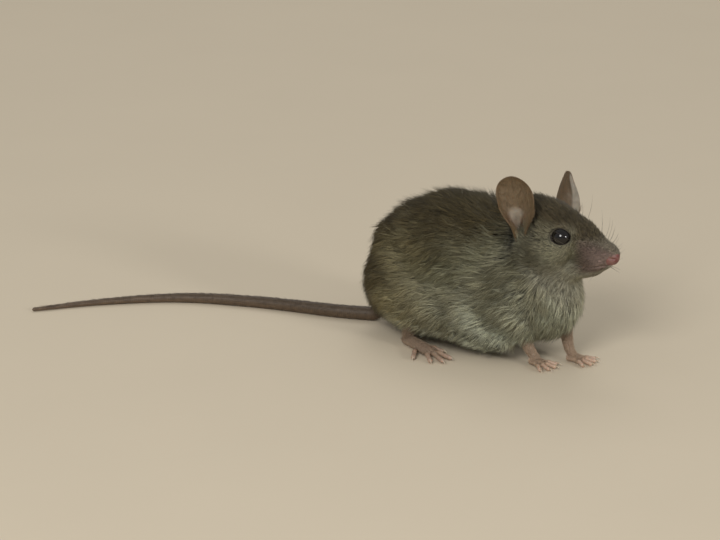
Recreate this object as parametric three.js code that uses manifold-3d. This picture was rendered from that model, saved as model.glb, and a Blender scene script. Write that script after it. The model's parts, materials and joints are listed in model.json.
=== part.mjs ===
// A house mouse at life size, standing on all four feet with its back arched and its tail laid out behind.
// Millimetres, +Z up, +X towards the nose, +Y to the mouse's left, and the floor at Z = 0.
import * as THREE from "three";
import { mergeVertices } from "three/addons/utils/BufferGeometryUtils.js";
import Module from "manifold-3d";

const wasm = await Module();
wasm.setup();

const V = (x, y, z) => new THREE.Vector3(x, y, z);
const rad = THREE.MathUtils.degToRad;
const { lerp, clamp, smoothstep } = THREE.MathUtils;

// ---- Driving dimensions ----

// The body frame has its origin on the floor under the root of the tail. This is where it sits in the part's frame.
const BODY_X = -2.1;
const BODY_Y = 11.25;

const CUT = 0.3; // width of the thin cuts between neighbouring pieces

// The head's own frame sits between the ears, with +x to the nose. Roll lifts the right ear.
const HEAD = { at: V(43.6, 0, 26.6), yaw: rad(0), pitch: rad(0), roll: rad(-8) };

const EYE = { at: V(7.2, 4.6, 0.3), radius: 1.95 };

const EAR = { thickness: 0.6, bow: 0.7, root: V(-1.2, 6.5, 0.0) };
// The right ear is spread open. The left one is rolled closer, to a pointed tip.
const EAR_FORM = {
  right: {
    length: 11.9,
    baseHalf: 2.5, // half the width of the sheet, measured along its curve
    widestHalf: 4.35,
    widestAt: 0.58,
    tipPower: 2.2, // 2 gives a round tip, and 1 a pointed one
    baseCurl: 2.3, // half-angle of the rolled section, in radians
    middleCurl: 1.1,
    tipCurl: 0.55,
    sway: 0, // how far the middle of the blade stands towards its inner edge
    faces: rad(58),
    lean: rad(19),
    back: rad(2),
  },
  left: {
    length: 11.5,
    baseHalf: 2.4,
    widestHalf: 5.0,
    widestAt: 0.44,
    tipPower: 1.3,
    baseCurl: 2.15,
    middleCurl: 1.85,
    tipCurl: 0.35,
    sway: 0.8,
    faces: rad(51.5),
    lean: rad(25.4),
    back: rad(8.4),
  },
};

const TAIL = {
  rootRadius: 1.45,
  middleRadius: 1.1,
  tipRadius: 0.36,
  sink: 0.12, // the share of its radius by which the round tail is flattened on the floor
  rise: 4.6, // how much higher its root sits, inside the rump
  riseTo: 0.08, // the share of its length over which it comes down
  sides: 10,
  cuts: [0.3, 0.55, 0.78],
  line: [
    [8.0, 0.6],
    [3.7, -0.4],
    [-4.1, -3.4],
    [-21.4, -8.4],
    [-36.9, -15.6],
    [-49.0, -27.3],
    [-57.3, -38.9],
  ],
};


// Each leg runs down through its joints, and ends in a foot. Points are in the body frame, for the right side.
const FORE = {
  right: {
    leg: [[39.5, -5.6, 9.5], [41.2, -5.2, 6.6], [42.8, -4.7, 4.4], [44.3, -4.4, 2.3], [45.6, -4.4, 1.0]],
    heel: V(44.2, -4.4, 0.9),
    yaw: rad(-6),
  },
  left: {
    leg: [[45.6, 3.8, 10.5], [46.6, 3.4, 7.4], [47.8, 2.6, 4.8], [49.0, 1.9, 2.4], [50.4, 1.7, 1.0]],
    heel: V(48.9, 1.8, 0.9),
    yaw: rad(8),
  },
  thick: [2.2, 1.7, 1.3, 1.1, 0.9],
  cut: 2.0, // height of the wrist cut
  palm: { length: 2.9, half: 1.3, tall: 0.85 },
  toes: [
    { turn: rad(32), length: 2.7 },
    { turn: rad(11), length: 3.3 },
    { turn: rad(-9), length: 3.3 },
    { turn: rad(-32), length: 2.5 },
  ],
  toeRadius: 0.43,
};
const HIND = {
  leg: [[20.0, -8.0, 8.0], [19.6, -8.5, 6.2], [18.6, -9.1, 4.3], [17.9, -9.4, 2.6], [18.4, -9.7, 1.4]],
  thick: [2.8, 2.3, 1.9, 1.6, 1.2],
  heel: V(16.6, -9.2, 1.0),
  yaw: rad(-20),
  palm: { length: 9.3, half: 1.6, tall: 1.1 },
  toes: [
    { turn: rad(40), length: 5.0, back: 2.6 },
    { turn: rad(23), length: 5.5, back: 0 },
    { turn: rad(6), length: 6.7, back: 0 },
    { turn: rad(-11), length: 5.9, back: 0 },
    { turn: rad(-24), length: 3.7, back: 2.4 },
  ],
  toeRadius: 0.5,
};

// ---- Forms: the body is a smooth blend of rounded masses, one for each muscle group or bone ----

// A rounded mass: its centre, its half-lengths along x, y and z, and its pitch, which lifts its front end.
const mass = (at, half, pitch = 0) => ({ at: V(...at), half: V(...half), pitch: rad(pitch) });
const pair = (at, half, pitch = 0) => [
  mass(at, half, pitch),
  mass([at[0], -at[1], at[2]], half, pitch),
];

const TRUNK_MASSES = [
  mass([14.2, 0, 15.9], [11.2, 9.8, 10.4], 38), // pelvis and rump
  mass([12.0, 0, 8.6], [10.1, 9.6, 8.0], 2), // seat, round the root of the tail
  mass([24.2, 0, 19.4], [14.4, 10.8, 11.5], 6), // arched loin
  mass([29.1, 0, 10.4], [15.6, 12.0, 7.7], 6), // belly
  mass([33.5, 0, 16.6], [12.0, 10.4, 11.7], 6), // rib cage
  mass([43.0, 0, 14.0], [9.4, 7.4, 10.2], 12), // breast
  ...pair([29.0, 6.8, 7.0], [13.1, 5.0, 3.7], -20), // loose lower flanks
  ...pair([17.1, 7.2, 9.7], [10.2, 5.2, 6.5], -30), // haunches
  ...pair([39.5, 5.4, 14.0], [7.2, 5.0, 9.4]), // shoulders
  mass([38.5, 0, 23.6], [8.4, 7.2, 7.2], -4), // nape
];
const HEAD_MASSES = [
  mass([-0.5, 0, 0.3], [8.2, 6.6, 6.0], -6), // brain case
  mass([7.0, 0, 0.2], [8.2, 4.2, 4.0], -23), // forehead and bridge
  ...pair([2.4, 4.0, -2.4], [6.6, 3.9, 4.9]), // cheeks
  mass([2.0, 0, -5.4], [8.2, 5.2, 4.6]), // throat
  ...pair([6.8, 3.6, 1.2], [3.2, 1.7, 1.7]), // brows
  mass([11.6, 0, -1.8], [6.0, 2.7, 2.8], -8), // snout
  ...pair([11.8, 1.5, -3.5], [3.8, 2.0, 2.7]), // whisker pads
  mass([9.4, 0, -5.9], [4.4, 2.2, 1.9], 4), // chin
  mass([15.5, 0, -2.45], [1.95, 1.45, 1.6]), // nose
];
const HAUNCH_CUTTER = { at: V(15.0, 14.0, 7.5), half: V(9.5, 8.5, 8.5) };
const TRUNK_BLEND = 4.0;
const HEAD_BLEND = 1.5;
const NECK_BLEND = 4.0;

// The distance from a point to a mass's surface, negative inside, near enough for a blend.
function massDistance(m, p) {
  const dx = p.x - m.at.x;
  const dz = p.z - m.at.z;
  const x = dx * Math.cos(m.pitch) + dz * Math.sin(m.pitch);
  const z = dz * Math.cos(m.pitch) - dx * Math.sin(m.pitch);
  const y = p.y - m.at.y;
  const scaled = Math.hypot(x / m.half.x, y / m.half.y, z / m.half.z);
  const slope = Math.hypot(x / m.half.x ** 2, y / m.half.y ** 2, z / m.half.z ** 2);
  return slope > 1e-9 ? (scaled * (scaled - 1)) / slope : -Math.min(m.half.x, m.half.y, m.half.z);
}

// The smaller of two distances, with the crease between them filled over the width k.
function blend(a, b, k) {
  const h = Math.max(k - Math.abs(a - b), 0) / k;
  return Math.min(a, b) - (h * h * k) / 4;
}

const blendAll = (masses, p, k) => masses.map((m) => massDistance(m, p)).reduce((a, b) => blend(a, b, k));

const headGroup = new THREE.Group();
headGroup.position.copy(HEAD.at);
headGroup.rotation.set(HEAD.roll, HEAD.pitch, HEAD.yaw, "ZYX");
headGroup.updateMatrixWorld(true);
const headToBody = headGroup.matrixWorld.clone();
const bodyToHead = headToBody.clone().invert();
const fromHead = (x, y, z) => V(x, y, z).applyMatrix4(headToBody);

// The whole coat's surface, in the body frame: the distance is zero on it and negative inside.
function bodyDistance(p) {
  const trunk = blendAll(TRUNK_MASSES, p, TRUNK_BLEND);
  const head = blendAll(HEAD_MASSES, p.clone().applyMatrix4(bodyToHead), HEAD_BLEND);
  return blend(trunk, head, NECK_BLEND);
}

// ---- Solids ----

// A closed solid from rings of points, each with the same count, with a flat fan over both end rings.
function loft(rings) {
  const around = rings[0].length;
  const centre = (ring) => ring.reduce((sum, p) => sum.add(p), V(0, 0, 0)).divideScalar(ring.length);
  const points = [...rings.flat(), centre(rings[0]), centre(rings.at(-1))];
  const first = rings.length * around;
  const index = [];
  for (let i = 0; i < rings.length - 1; i++) {
    for (let j = 0; j < around; j++) {
      const a = i * around + j;
      const b = i * around + ((j + 1) % around);
      index.push(a, b, b + around, a, b + around, a + around);
    }
  }
  for (let j = 0; j < around; j++) {
    const next = (j + 1) % around;
    index.push(first, next, j, first + 1, first - around + j, first - around + next);
  }
  return solid(points, index);
}

// A closed sheet of even thickness from a grid of points, rows by columns, and the unit normals at them.
function sheet(grid, normals, thickness) {
  const rows = grid.length;
  const columns = grid[0].length;
  const side = (sign) =>
    grid.flatMap((row, i) => row.map((p, j) => p.clone().addScaledVector(normals[i][j], (sign * thickness) / 2)));
  const points = [...side(1), ...side(-1)];
  const half = rows * columns;
  const index = [];
  const quad = (a, b, c, d) => index.push(a, b, c, a, c, d);
  for (let i = 0; i < rows - 1; i++) {
    for (let j = 0; j < columns - 1; j++) {
      const a = i * columns + j;
      quad(a, a + 1, a + columns + 1, a + columns);
      quad(half + a, half + a + columns, half + a + columns + 1, half + a + 1);
    }
  }
  for (let i = 0; i < rows - 1; i++) {
    const left = i * columns;
    const right = left + columns - 1;
    quad(left, left + columns, half + left + columns, half + left);
    quad(right + columns, right, half + right, half + right + columns);
  }
  for (let j = 0; j < columns - 1; j++) {
    const top = (rows - 1) * columns + j;
    quad(j + 1, j, half + j, half + j + 1);
    quad(top, top + 1, half + top + 1, half + top);
  }
  return solid(points, index);
}

// A solid from points and triangles, turned so that its faces point out.
function solid(points, index) {
  const make = (triangles) =>
    new wasm.Manifold(
      new wasm.Mesh({
        numProp: 3,
        vertProperties: new Float32Array(points.flatMap((p) => [p.x, p.y, p.z])),
        triVerts: new Uint32Array(triangles),
      }),
    );
  const made = make(index);
  return made.volume() > 0 ? made : make(index.toReversed());
}

// A three.js geometry as a solid, placed by a matrix.
function solidOf(geometry, matrix = new THREE.Matrix4()) {
  const bare = new THREE.BufferGeometry().setIndex(geometry.index);
  bare.setAttribute("position", geometry.getAttribute("position").clone());
  const merged = mergeVertices(bare.applyMatrix4(matrix), 1e-3);
  return new wasm.Manifold(
    new wasm.Mesh({
      numProp: 3,
      vertProperties: new Float32Array(merged.attributes.position.array),
      triVerts: new Uint32Array(merged.index.array),
    }),
  );
}

const ball = (centre, radius, across = 16, down = 10) =>
  solidOf(new THREE.SphereGeometry(radius, across, down), new THREE.Matrix4().setPosition(centre));

// Steps from 0 to 1, both ends included.
const steps = (count) => Array.from({ length: count + 1 }, (_, i) => i / count);

// A tube along a smooth curve through the knots. Each knot is its point, its half-width and its half-height.
// Its ends are rounded, and it is flat where it would pass below the floor.
function tube(knots, sides, sections, cap = true) {
  const curve = new THREE.CatmullRomCurve3(knots.map((k) => k.at), false, "centripetal");
  const size = (name, t) => {
    const place = t * (knots.length - 1);
    const i = Math.min(Math.floor(place), knots.length - 2);
    return lerp(knots[i][name], knots[i + 1][name], smoothstep(place - i, 0, 1));
  };
  const rings = steps(sections).map((s) => {
    // Sections crowd together at both ends, where the tube rounds off.
    const t = cap ? (1 - Math.cos(Math.PI * lerp(0.04, 0.96, s))) / 2 : s;
    const centre = curve.getPoint(t);
    const along = curve.getTangent(t);
    const across = V(0, 1, 0).addScaledVector(along, -along.y).normalize();
    const up = along.clone().cross(across);
    const length = curve.getLength();
    const toEnd = Math.min(t, 1 - t) * length;
    const w = size("wide", t);
    const round = cap ? Math.sqrt(1 - (1 - clamp(toEnd / w, 0.02, 1)) ** 2) : 1;
    return steps(sides).slice(0, -1).map((a) => {
      const angle = 2 * Math.PI * (a + (sides % 4 ? 0 : 0.5 / sides)); // so that a flat side is underneath
      const p = centre
        .clone()
        .addScaledVector(across, Math.cos(angle) * w * round)
        .addScaledVector(up, Math.sin(angle) * size("tall", t) * round);
      p.z = Math.max(p.z, 0);
      return p;
    });
  });
  return loft(rings);
}

const knot = (at, wide, tall = wide) => ({ at, wide, tall });

// The part of space between two parallel planes. Offsets are distances from the point, along the normal.
function slab(point, normal, from, to) {
  const half = 120;
  const turn = new THREE.Quaternion().setFromUnitVectors(V(0, 0, 1), normal.clone().normalize());
  const centre = point.clone().addScaledVector(normal.clone().normalize(), (from + to) / 2);
  const place = new THREE.Matrix4().compose(centre, turn, V(1, 1, 1));
  return solidOf(new THREE.BoxGeometry(2 * half, 2 * half, to - from), place);
}

const FAR = 150;
const below = (height) => slab(V(0, 0, height), V(0, 0, 1), -FAR, 0);
const above = (height) => slab(V(0, 0, height), V(0, 0, 1), 0, FAR);

// ---- The trunk and the head, each as a closed surface found by rays from a line inside it ----

// The planes of the thin cuts. Each normal points towards the nose.
const SKULL_PLANE = { point: V(35.0, 0, 32.0), normal: V(1, 0, 1).normalize() };
const NECK_PLANE = { point: V(29.5, 0, 32.0), normal: V(1, 0, 0.86).normalize() };
const WAIST_PLANE = { point: V(26.0, 0, 0), normal: V(1, 0, 0) };
const NOSE_PLANE = { point: fromHead(15.6, 0, 0), normal: V(1, 0, -0.12).normalize() };
const planeDistance = (plane, p) => p.clone().sub(plane.point).dot(plane.normal);

const SEARCH = { reach: 34, stride: 0.5, halvings: 12 };

// How far the surface of a form is from a point inside it, in one direction.
function reachFrom(distance, centre, direction) {
  const inside = (far) => distance(centre.clone().addScaledVector(direction, far)) < 0;
  let far = SEARCH.stride;
  while (far < SEARCH.reach && inside(far)) far += SEARCH.stride;
  let near = far - SEARCH.stride;
  for (let i = 0; i < SEARCH.halvings; i++) {
    const middle = (near + far) / 2;
    if (inside(middle)) near = middle;
    else far = middle;
  }
  return near;
}

// A closed surface round the line from back to front. Its rays swing from straight back, at the first
// ring, to square across the line, and on to straight ahead at the last.
function hull(distance, { back, front, sections, sides, pole = 0.06 }, grow = 0) {
  const along = front.clone().sub(back).normalize();
  const across = V(0, 1, 0).addScaledVector(along, -along.y).normalize();
  const up = along.clone().cross(across);
  return loft(
    steps(sections).map((s) => {
      const t = lerp(pole, 1 - pole, s);
      const origin = back.clone().lerp(front, smoothstep(t, 0.12, 0.88));
      const swing = Math.PI * (t + 0.075 * Math.sin(4 * Math.PI * t));
      return steps(sides)
        .slice(0, -1)
        .map((a) => {
          const angle = 2 * Math.PI * a;
          const out = across.clone().multiplyScalar(Math.cos(angle)).addScaledVector(up, Math.sin(angle));
          const direction = out.multiplyScalar(Math.sin(swing)).addScaledVector(along, -Math.cos(swing));
          return origin.clone().addScaledVector(direction, reachFrom(distance, origin, direction) + grow);
        });
    }),
  );
}

const OVERLAP = 5; // how far each hull runs past the cut between them, before it is trimmed there
const trunkForm = (p) => Math.max(bodyDistance(p), planeDistance(SKULL_PLANE, p) - OVERLAP);
const headForm = (p) => Math.max(bodyDistance(p), -planeDistance(SKULL_PLANE, p) - OVERLAP);
const TRUNK_HULL = { back: V(12, 0, 13.5), front: V(40, 0, 16.0), sections: 26, sides: 26 };
const HEAD_HULL = { back: fromHead(1.5, 0, -0.6), front: fromHead(15.2, 0, -1.3), sections: 24, sides: 22 };

const trunk = hull(trunkForm, TRUNK_HULL);
const skull = hull(headForm, HEAD_HULL);
const trunkGrown = hull(trunkForm, TRUNK_HULL, CUT);
const skullGrown = hull(headForm, HEAD_HULL, CUT);

const cutBy = (plane, from, to) => slab(plane.point, plane.normal, from, to);
const behind = (plane) => cutBy(plane, -FAR, -CUT / 2);
const ahead = (plane) => cutBy(plane, CUT / 2, FAR);

// ---- The eyes ----

const sides = { left: 1, right: -1 };
const eyeAt = (side) => fromHead(EYE.at.x, side * EYE.at.y, EYE.at.z);
const eyes = Object.fromEntries(Object.entries(sides).map(([name, side]) => [name, ball(eyeAt(side), EYE.radius)]));
const sockets = Object.values(sides).map((side) => ball(eyeAt(side), EYE.radius + CUT));

// ---- The ears ----

// One ear, as a thin sheet rolled at its root and opening to a rounded blade. It faces out, leans out and tips back.
function ear(side, form) {
  const facing = V(Math.cos(form.faces), side * Math.sin(form.faces), 0);
  const across = V(-facing.y, facing.x, 0);
  const up = V(0, 0, 1)
    .addScaledVector(V(0, side, 0), Math.tan(form.lean))
    .addScaledVector(V(1, 0, 0), -Math.tan(form.back))
    .normalize();
  const front = facing.clone().addScaledVector(up, -facing.dot(up)).normalize();
  const rows = steps(11).map((s) => Math.sin((s * Math.PI) / 2));
  const columns = steps(8).map((s) => 2 * s - 1);
  const half = (h) =>
    h < form.widestAt
      ? lerp(form.baseHalf, form.widestHalf, Math.sin((h / form.widestAt) * (Math.PI / 2)))
      : form.widestHalf *
        Math.sqrt(Math.max(1 - ((h - form.widestAt) / (1.004 - form.widestAt)) ** form.tipPower, 0));
  const curl = (h) =>
    h < 0.5
      ? lerp(form.baseCurl, form.middleCurl, smoothstep(h, 0, 0.5))
      : lerp(form.middleCurl, form.tipCurl, smoothstep(h, 0.5, 1));
  const root = EAR.root.clone().multiply(V(1, side, 1));
  const grid = [];
  const normals = [];
  for (const h of rows) {
    const turn = curl(h);
    const radius = half(h) / turn;
    grid.push([]);
    normals.push([]);
    for (const c of columns) {
      const angle = c * turn;
      const bulge = Math.sin(Math.PI * h);
      const bowl = radius * (1 - Math.cos(angle)) - EAR.bow * bulge;
      const p = root
        .clone()
        .addScaledVector(up, h * form.length)
        .addScaledVector(across, radius * Math.sin(angle) + form.sway * bulge)
        .addScaledVector(front, bowl);
      grid.at(-1).push(fromHead(p.x, p.y, p.z));
      const n = front.clone().multiplyScalar(Math.cos(angle)).addScaledVector(across, -Math.sin(angle));
      normals.at(-1).push(n.transformDirection(headToBody));
    }
  }
  return sheet(grid, normals, EAR.thickness);
}

const ears = {
  left: ear(1, EAR_FORM.left).subtract(skullGrown).subtract(trunkGrown),
  right: ear(-1, EAR_FORM.right).subtract(skullGrown).subtract(trunkGrown),
};

// ---- The legs and feet ----

// A foot with its toes and claws, flat on the floor. Toe turns count from the sole's own line, outwards positive.
function foot({ heel, yaw, palm, toes, toeRadius }, side) {
  const start = heel.clone().multiply(V(1, 1, 1));
  const point = (from, angle, length, height) =>
    V(from.x + Math.cos(angle) * length, from.y + Math.sin(angle) * length, height);
  const ballAt = point(start, yaw, palm.length, palm.tall * 0.7);
  const sole = tube(
    [
      knot(point(start, yaw, 0, palm.tall * 0.8), palm.half * 0.7, palm.tall),
      knot(point(start, yaw, palm.length * 0.45, palm.tall * 0.85), palm.half * 0.8, palm.tall),
      knot(point(start, yaw, palm.length * 0.8, palm.tall * 0.75), palm.half, palm.tall * 0.9),
      knot(ballAt, palm.half * 0.95, palm.tall * 0.8),
    ],
    8,
    5,
  );
  const spread = (i) => (i / (toes.length - 1) - 0.5) * 2; // -1 at the outermost toe, +1 at the innermost
  const fingers = toes.map((toe, i) => {
    const across = yaw + Math.PI / 2;
    const offset = -side * spread(i) * (palm.half - toeRadius * 0.6);
    const root = point(point(ballAt, across, offset, 0), yaw, -(toe.back ?? 0) - 0.9, 0);
    const angle = yaw + side * toe.turn;
    const end = 0.9 + toe.length;
    return tube(
      [
        knot(point(root, angle, 0, toeRadius * 0.9), toeRadius * 0.9, toeRadius * 0.95),
        knot(point(root, angle, end * 0.35, toeRadius * 1.35), toeRadius * 0.95),
        knot(point(root, angle, end * 0.68, toeRadius * 0.8), toeRadius * 0.9, toeRadius),
        knot(point(root, angle, end * 0.8, toeRadius * 0.95), toeRadius * 0.55, toeRadius * 0.8),
        knot(point(root, angle, end, toeRadius * 0.35), toeRadius * 0.22, toeRadius * 0.3),
      ],
      6,
      5,
    );
  });
  return fingers.reduce((all, finger) => all.add(finger), sole);
}

const legTube = (leg, thick, side) =>
  tube(
    leg.map(([x, y, z], i) => knot(V(x, side * Math.abs(y), z), thick[i])),
    8,
    6,
  );

const forelegs = Object.fromEntries(
  Object.entries(sides).map(([name, side]) => {
    const one = FORE[name];
    const leg = legTube(one.leg, FORE.thick, side);
    return [
      name,
      {
        forearm: leg.intersect(above(FORE.cut + CUT)).subtract(trunkGrown),
        paw: foot({ ...FORE, heel: one.heel, yaw: one.yaw }, side).add(leg.intersect(below(FORE.cut))).intersect(below(FORE.cut)),
      },
    ];
  }),
);
const hindlegs = Object.fromEntries(
  Object.entries(sides).map(([name, side]) => {
    const leg = legTube(HIND.leg, HIND.thick, side);
    const heel = HIND.heel.clone().multiply(V(1, -side, 1));
    return [
      name,
      {
        foot: foot({ ...HIND, heel, yaw: -side * HIND.yaw }, side).add(leg).subtract(trunkGrown),
      },
    ];
  }),
);

// ---- The tail ----

const TAIL_LINE = new THREE.CatmullRomCurve3(
  TAIL.line.map(([x, y]) => V(x, y, 0)),
  false,
  "centripetal",
);
const tailRadius = (t) =>
  t < 0.5
    ? lerp(TAIL.rootRadius, TAIL.middleRadius, t * 2)
    : lerp(TAIL.middleRadius, TAIL.tipRadius, (t - 0.5) * 2);

// A length of the tail between two shares of its line.
function tailPart(from, to, sections) {
  return loft(
    steps(sections).map((s) => {
      const t = lerp(from, to, s);
      const centre = TAIL_LINE.getPointAt(t);
      const along = TAIL_LINE.getTangentAt(t);
      const across = V(-along.y, along.x, 0);
      const radius = tailRadius(t);
      const rounded = t > 0.99 ? Math.sqrt(Math.max(1 - ((t - 0.99) / 0.0101) ** 2, 0)) : 1;
      const lift = radius * (1 - TAIL.sink) + TAIL.rise * (1 - smoothstep(t, 0, TAIL.riseTo));
      return steps(TAIL.sides)
        .slice(0, -1)
        .map((a) => {
          const angle = 2 * Math.PI * a;
          const p = centre.clone().addScaledVector(across, Math.cos(angle) * radius * rounded);
          p.z = Math.max(lift + Math.sin(angle) * radius * rounded, 0);
          return p;
        });
    }),
  );
}
const TAIL_LENGTH = TAIL_LINE.getLength();
const tailCut = CUT / 2 / TAIL_LENGTH;
const tailAt = TAIL.cuts;
const tail = {
  base: tailPart(0, tailAt[0] - tailCut, 11).subtract(trunkGrown),
  middle: tailPart(tailAt[0] + tailCut, tailAt[1] - tailCut, 8),
  rear: tailPart(tailAt[1] + tailCut, tailAt[2] - tailCut, 9),
  tip: tailPart(tailAt[2] + tailCut, 1, 9),
};

// ---- The pieces ----

const haunchForm = (grow) =>
  Object.values(sides).map((side) => {
    const { at, half } = HAUNCH_CUTTER;
    const place = new THREE.Matrix4().compose(
      V(at.x, side * at.y, at.z),
      new THREE.Quaternion(),
      V(half.x + grow, half.y + grow, half.z + grow),
    );
    return solidOf(new THREE.SphereGeometry(1, 16, 12), place);
  });
const [haunchLeft, haunchRight] = haunchForm(0);
const [gapLeft, gapRight] = haunchForm(CUT);

const hindPart = trunk.intersect(behind(WAIST_PLANE));
const frontPart = trunk.intersect(ahead(WAIST_PLANE));
const headPart = skull.intersect(ahead(SKULL_PLANE));

const root = new THREE.Group();
root.name = "house_mouse";
root.position.set(BODY_X, BODY_Y, 0);

function add(name, shape, colour, roughness) {
  const mesh = shape.getMesh();
  const geometry = new THREE.BufferGeometry();
  geometry.setAttribute("position", new THREE.BufferAttribute(new Float32Array(mesh.vertProperties), 3));
  geometry.setIndex(new THREE.BufferAttribute(new Uint32Array(mesh.triVerts), 1));
  geometry.computeVertexNormals();
  const made = new THREE.Mesh(geometry, new THREE.MeshStandardMaterial({ color: colour, roughness, metalness: 0 }));
  made.name = name;
  root.add(made);
}

const COAT = 0x57503c;
const BARE = 0x9a7f6c;
const EAR_SKIN = 0x7a6450;
const TAIL_SKIN = 0x5e5144;

add("abdomen", hindPart.subtract(gapLeft).subtract(gapRight), COAT, 0.85);
add("haunch_left", hindPart.intersect(haunchLeft), COAT, 0.85);
add("haunch_right", hindPart.intersect(haunchRight), COAT, 0.85);
add("chest", frontPart.intersect(behind(NECK_PLANE)), COAT, 0.85);
add("neck", frontPart.intersect(ahead(NECK_PLANE)).intersect(behind(SKULL_PLANE)), COAT, 0.85);
add("head", sockets.reduce((all, socket) => all.subtract(socket), headPart.intersect(behind(NOSE_PLANE))), COAT, 0.85);
add("nose", headPart.intersect(ahead(NOSE_PLANE)), 0x9a6a62, 0.5);
for (const name of Object.keys(sides)) {
  add("ear_" + name, ears[name], EAR_SKIN, 0.6);
  add("eye_" + name, eyes[name], 0x14130f, 0.1);
  add("forearm_" + name, forelegs[name].forearm, BARE, 0.7);
  add("forepaw_" + name, forelegs[name].paw, BARE, 0.6);
  add("hindfoot_" + name, hindlegs[name].foot, BARE, 0.6);
}
add("tail_base", tail.base, TAIL_SKIN, 0.6);
add("tail_middle", tail.middle, TAIL_SKIN, 0.6);
add("tail_rear", tail.rear, TAIL_SKIN, 0.6);
add("tail_tip", tail.tip, TAIL_SKIN, 0.6);

export default root;
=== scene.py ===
"""A house mouse at life size, as a still model: one skin, eyes, claws, whiskers and a coat of mesh tufts.

Lengths in the formulas are millimetres in the mouse's own frame: x towards the nose, y to its left and z up,
with the origin under the root of the tail. place() carries them to metres in the frame of the solids.
"""

import json
import math
from functools import lru_cache

import bpy
import numpy as np
from bpy.props import FloatProperty, FloatVectorProperty, IntProperty, PointerProperty
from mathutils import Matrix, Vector

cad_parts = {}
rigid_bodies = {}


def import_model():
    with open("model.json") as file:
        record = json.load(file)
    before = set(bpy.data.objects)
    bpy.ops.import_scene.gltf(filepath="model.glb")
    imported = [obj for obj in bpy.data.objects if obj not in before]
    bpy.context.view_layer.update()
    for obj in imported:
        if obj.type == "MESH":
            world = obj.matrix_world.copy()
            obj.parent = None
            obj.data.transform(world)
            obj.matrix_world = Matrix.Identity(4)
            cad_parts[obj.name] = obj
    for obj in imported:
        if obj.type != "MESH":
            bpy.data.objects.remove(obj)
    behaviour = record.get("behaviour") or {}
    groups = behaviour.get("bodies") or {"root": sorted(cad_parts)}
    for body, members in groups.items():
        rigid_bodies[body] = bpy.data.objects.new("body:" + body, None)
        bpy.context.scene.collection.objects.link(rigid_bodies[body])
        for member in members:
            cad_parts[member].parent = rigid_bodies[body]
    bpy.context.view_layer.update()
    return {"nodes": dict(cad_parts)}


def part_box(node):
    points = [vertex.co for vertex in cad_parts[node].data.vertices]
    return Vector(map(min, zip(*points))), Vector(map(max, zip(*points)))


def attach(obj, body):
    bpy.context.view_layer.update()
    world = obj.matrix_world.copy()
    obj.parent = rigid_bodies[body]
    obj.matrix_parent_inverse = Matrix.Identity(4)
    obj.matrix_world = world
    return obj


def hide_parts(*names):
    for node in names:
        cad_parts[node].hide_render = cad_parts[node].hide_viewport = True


bl_info = {
    "name": "House mouse",
    "version": (1, 0, 0),
    "blender": (4, 5, 0),
    "location": "3D View > Sidebar > Mouse",
    "description": "Builds a house mouse with its skin, eyes, claws, whiskers and coat over fixed solids",
    "category": "Add Mesh",
}

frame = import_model()

# ---- Named sizes ----

LEFT, RIGHT = 1, -1
SIDES = ((LEFT, "left"), (RIGHT, "right"))


def both_sides(*masses):
    """The masses in order, each that lies to the left followed by its mirror image."""
    mirrored = []
    for x, y, *rest in masses:
        mirrored += [(x, y, *rest), (x, -y, *rest)] if y else [(x, y, *rest)]
    return mirrored


# Rounded masses: centre x, y, z, half-lengths along x, y, z, and the degrees that the front is pitched up.
TRUNK_MASSES = both_sides(
    (14.2, 0, 15.9, 11.2, 9.8, 10.4, 38),  # pelvis and rump
    (12.0, 0, 8.6, 10.1, 9.6, 8.0, 2),  # seat, round the root of the tail
    (24.2, 0, 19.4, 14.4, 10.8, 11.5, 6),  # arched loin
    (29.1, 0, 10.4, 15.6, 12.0, 7.7, 6),  # belly
    (33.5, 0, 16.6, 12.0, 10.4, 11.7, 6),  # rib cage
    (43.0, 0, 14.0, 9.4, 7.4, 10.2, 12),  # breast
    (29.0, 6.8, 7.0, 13.1, 5.0, 3.7, -20),  # loose lower flanks
    (17.1, 7.2, 9.7, 10.2, 5.2, 6.5, -30),  # haunches
    (39.5, 5.4, 14.0, 7.2, 5.0, 9.4, 0),  # shoulders
    (38.5, 0, 23.6, 8.4, 7.2, 7.2, -4),  # nape
)
HEAD_MASSES = both_sides(
    (-0.5, 0, 0.3, 8.2, 6.6, 6.0, -6),  # brain case
    (7.0, 0, 0.15, 8.2, 4.2, 3.85, -23),  # forehead and bridge
    (2.4, 4.0, -2.4, 6.6, 3.9, 4.9, 0),  # cheeks
    (2.0, 0, -5.4, 8.2, 5.2, 4.6, 0),  # throat
    (6.8, 3.3, 0.8, 3.0, 1.5, 1.5, 0),  # brows
    (11.6, 0, -1.85, 6.0, 2.7, 2.7, -8),  # snout
    (11.8, 1.5, -3.5, 3.8, 2.0, 2.7, 0),  # whisker pads
    (9.4, 0, -5.9, 4.4, 2.2, 1.9, 4),  # chin
    (15.5, 0, -2.45, 1.95, 1.45, 1.6, 0),  # nose
)
TRUNK_BLEND, HEAD_BLEND, NECK_BLEND = 4.0, 1.5, 4.0

# Middle of each section of the body, and how far the section leans back, from the rump to the muzzle.
SECTIONS = np.array((
    (14, 14.5, 0),
    (26, 15.5, 0),
    (33, 17.0, 10),
    (38, 20.0, 28),
    (42, 23.5, 45),
    (45.5, 25.2, 40),
    (50, 25.6, 20),
    (55, 24.9, 5),
    (58.6, 24.3, 0),
))
REAR_CAP, NOSE_CAP = 0.22, 0.08  # shares of the body's rays that swing over the rump and over the nose
BODY_ROWS, BODY_COLUMNS = 256, 196

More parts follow.
